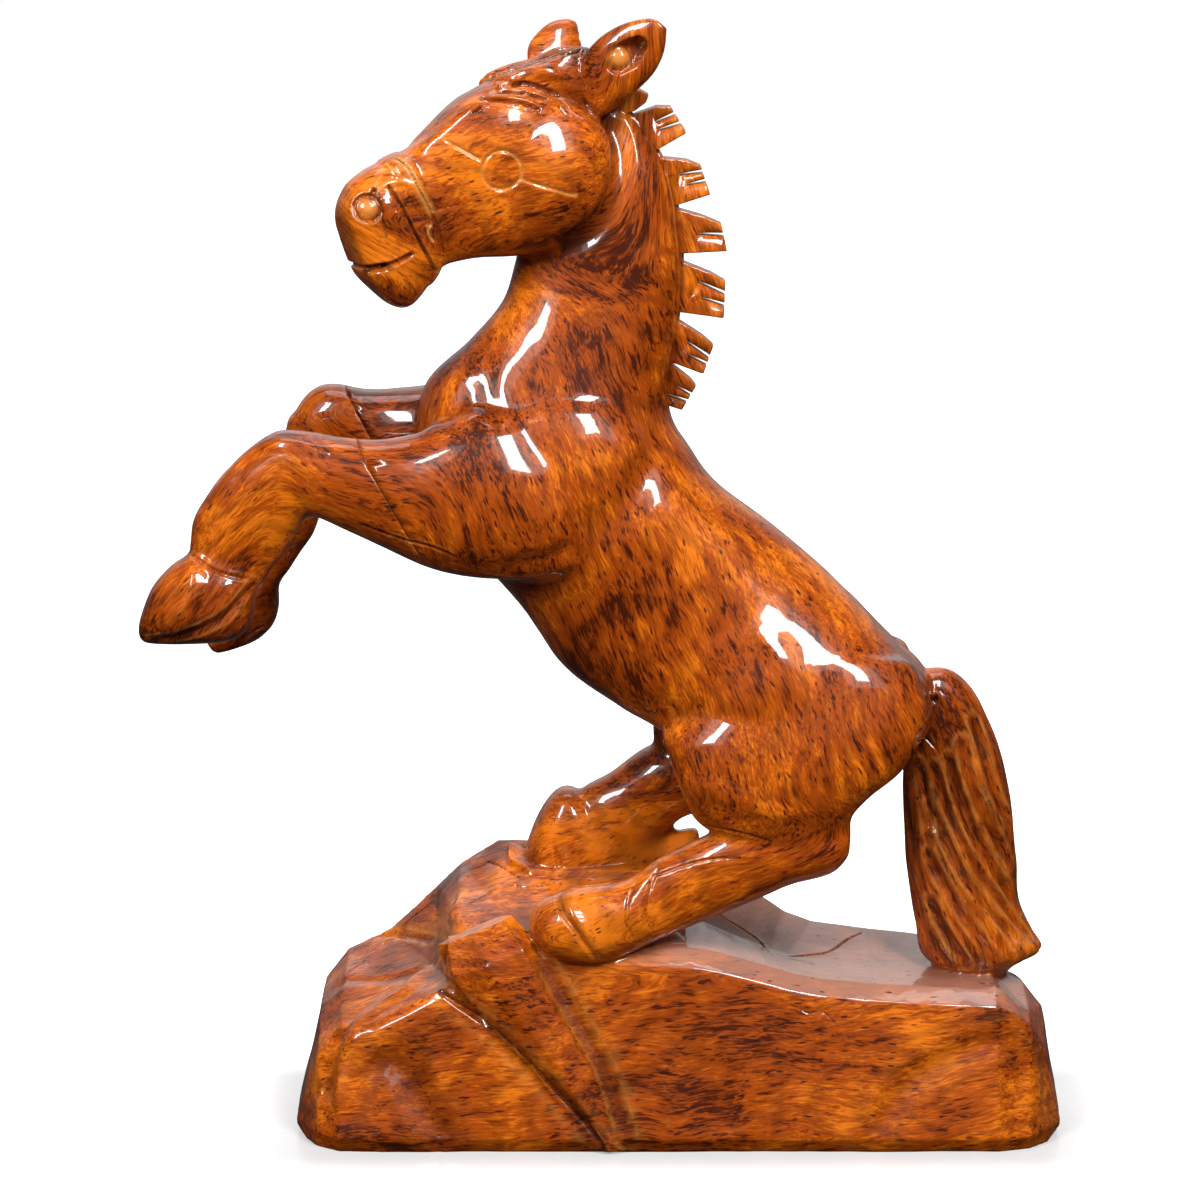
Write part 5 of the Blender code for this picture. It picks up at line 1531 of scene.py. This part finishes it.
def studio_world():
    """White behind the object for the camera; a bright back and a dim front for its reflections."""
    world = bpy.data.worlds.new("Studio")
    world.use_nodes = True
    tree = world.node_tree
    tree.nodes.clear()
    where, parts = coordinates(tree, "Generated")
    back = ranged(tree, parts["Y"], 0.0, 0.95, 0.03, 0.95, smooth=True)
    above = ranged(tree, parts["Z"], -0.25, 0.5, 0.04, 1.0, smooth=True)
    ahead = ranged(tree, maths(tree, "ABSOLUTE", parts["X"]), 0.12, 0.6, 1.0, 0.35, smooth=True)
    share = maths(tree, "MULTIPLY", maths(tree, "MULTIPLY", back, above), ahead)
    soft, white = [add(tree, "ShaderNodeBackground", {"Color": colour, "Strength": 1.0}).outputs["Background"]
                   for colour in (mixed(tree, share, (0.015, 0.013, 0.012), (1.0, 0.97, 0.96)), WHITE)]
    path = add(tree, "ShaderNodeLightPath")
    choose = add(tree, "ShaderNodeMixShader", {"Fac": path.outputs["Is Camera Ray"], 1: soft, 2: white})
    add(tree, "ShaderNodeOutputWorld", {"Surface": choose.outputs["Shader"]})
    return world


def floor_material(colour):
    """White gloss board with a very faint tooth, which glows evenly white, with a painted shadow darkening it next to
    the rock.
    """
    material = bpy.data.materials.new("White studio floor")
    material.use_nodes = True
    tree = material.node_tree
    shader = tree.nodes["Principled BSDF"]
    where, parts = coordinates(tree, "Object")
    grain = noise(tree, where, 60.0, 2.0, 0.5)
    squares = []
    for axis, edge in (("X", BASE_LENGTH / 2), ("Y", BASE_DEPTH / 2)):
        out = maths(tree, "SUBTRACT", maths(tree, "ABSOLUTE", parts[axis]), edge)
        squares.append(maths(tree, "POWER", maths(tree, "MAXIMUM", out, 0.0), 2.0))
    away = maths(tree, "SQRT", maths(tree, "ADD", *squares))
    # Painted shadow: the board's colour and glow darken next to the rock
    shadow = ranged(tree, away, 0.0, 0.060, 0.42, 1.0, smooth=True)
    board = mixed(tree, ranged(tree, grain, 0.3, 0.7), [c * 0.985 for c in colour], colour)
    for label, value in {"Roughness": ranged(tree, grain, 0.3, 0.7, 0.22, 0.28),
                         "Base Color": mixed(tree, shadow, BLACK, board),
                         "Emission Color": mixed(tree, shadow, BLACK, WHITE), "Emission Strength": 1.0}.items():
        feed(tree, shader.inputs[label], value)
    return material


class CARVING_OT_studio(bpy.types.Operator):
    """Set up the pale floor, the soft lights and the camera."""
    bl_idname = "carving.studio"
    bl_label = "Studio"

    def execute(self, context):
        scene = context.scene
        look = scene.studio_look
        shape = bmesh.new()
        bmesh.ops.create_circle(shape, cap_ends=True, segments=96, radius=FLOOR_RADIUS)
        floor = mesh_object("studio_floor", shape)
        floor.data.materials.append(floor_material(look.floor))
        floor.visible_diffuse = False
        floor.visible_glossy = False
        scene.world = studio_world()
        for name, place_at, size, watts in LIGHTS:
            softbox(name, place_at, size, watts * look.key)
        lens = bpy.data.cameras.new("Camera")
        lens.sensor_width = 36.0
        lens.lens = CAMERA_LENS
        lens.clip_start = 0.05
        camera = new_object("Camera", lens)
        back = Vector((0.0, -math.cos(CAMERA_DOWN), math.sin(CAMERA_DOWN)))
        camera.location = Vector(CAMERA_TARGET) + back * CAMERA_REACH
        camera.rotation_euler = (math.pi / 2 - CAMERA_DOWN, 0.0, 0.0)
        scene.camera = camera
        scene.view_settings.view_transform = "Standard"
        return {"FINISHED"}


class CARVING_PT_panel(bpy.types.Panel):
    """The carving's pieces, sizes and finish, in the sidebar."""
    bl_label = "Rearing horse"
    bl_idname = "CARVING_PT_panel"
    bl_space_type = "VIEW_3D"
    bl_region_type = "UI"
    bl_category = "Carving"

    def draw(self, context):
        for operator in PIECES:
            self.layout.operator(operator.bl_idname)
        for name in SETTINGS:
            group = getattr(context.scene, name)
            box = self.layout.box()
            for label in group.bl_rna.properties.keys():
                if label not in ("rna_type", "name"):
                    box.prop(group, label)


PIECES = (CARVING_OT_studio, CARVING_OT_horse_on_rock, CARVING_OT_forelegs)
SETTINGS = {"carving_sizes": CarvingSizes, "wood_finish": WoodFinish, "studio_look": StudioLook}
CLASSES = (*SETTINGS.values(), *PIECES, CARVING_PT_panel)


def register():
    for kind in CLASSES:
        bpy.utils.register_class(kind)
    for name, kind in SETTINGS.items():
        setattr(bpy.types.Scene, name, bpy.props.PointerProperty(type=kind))


def unregister():
    for name in SETTINGS:
        delattr(bpy.types.Scene, name)
    for kind in reversed(CLASSES):
        bpy.utils.unregister_class(kind)


def main():
    register()
    bpy.ops.carving.studio()
    bpy.ops.carving.horse_on_rock()
    bpy.ops.carving.forelegs()


if __name__ == "__main__":
    main()
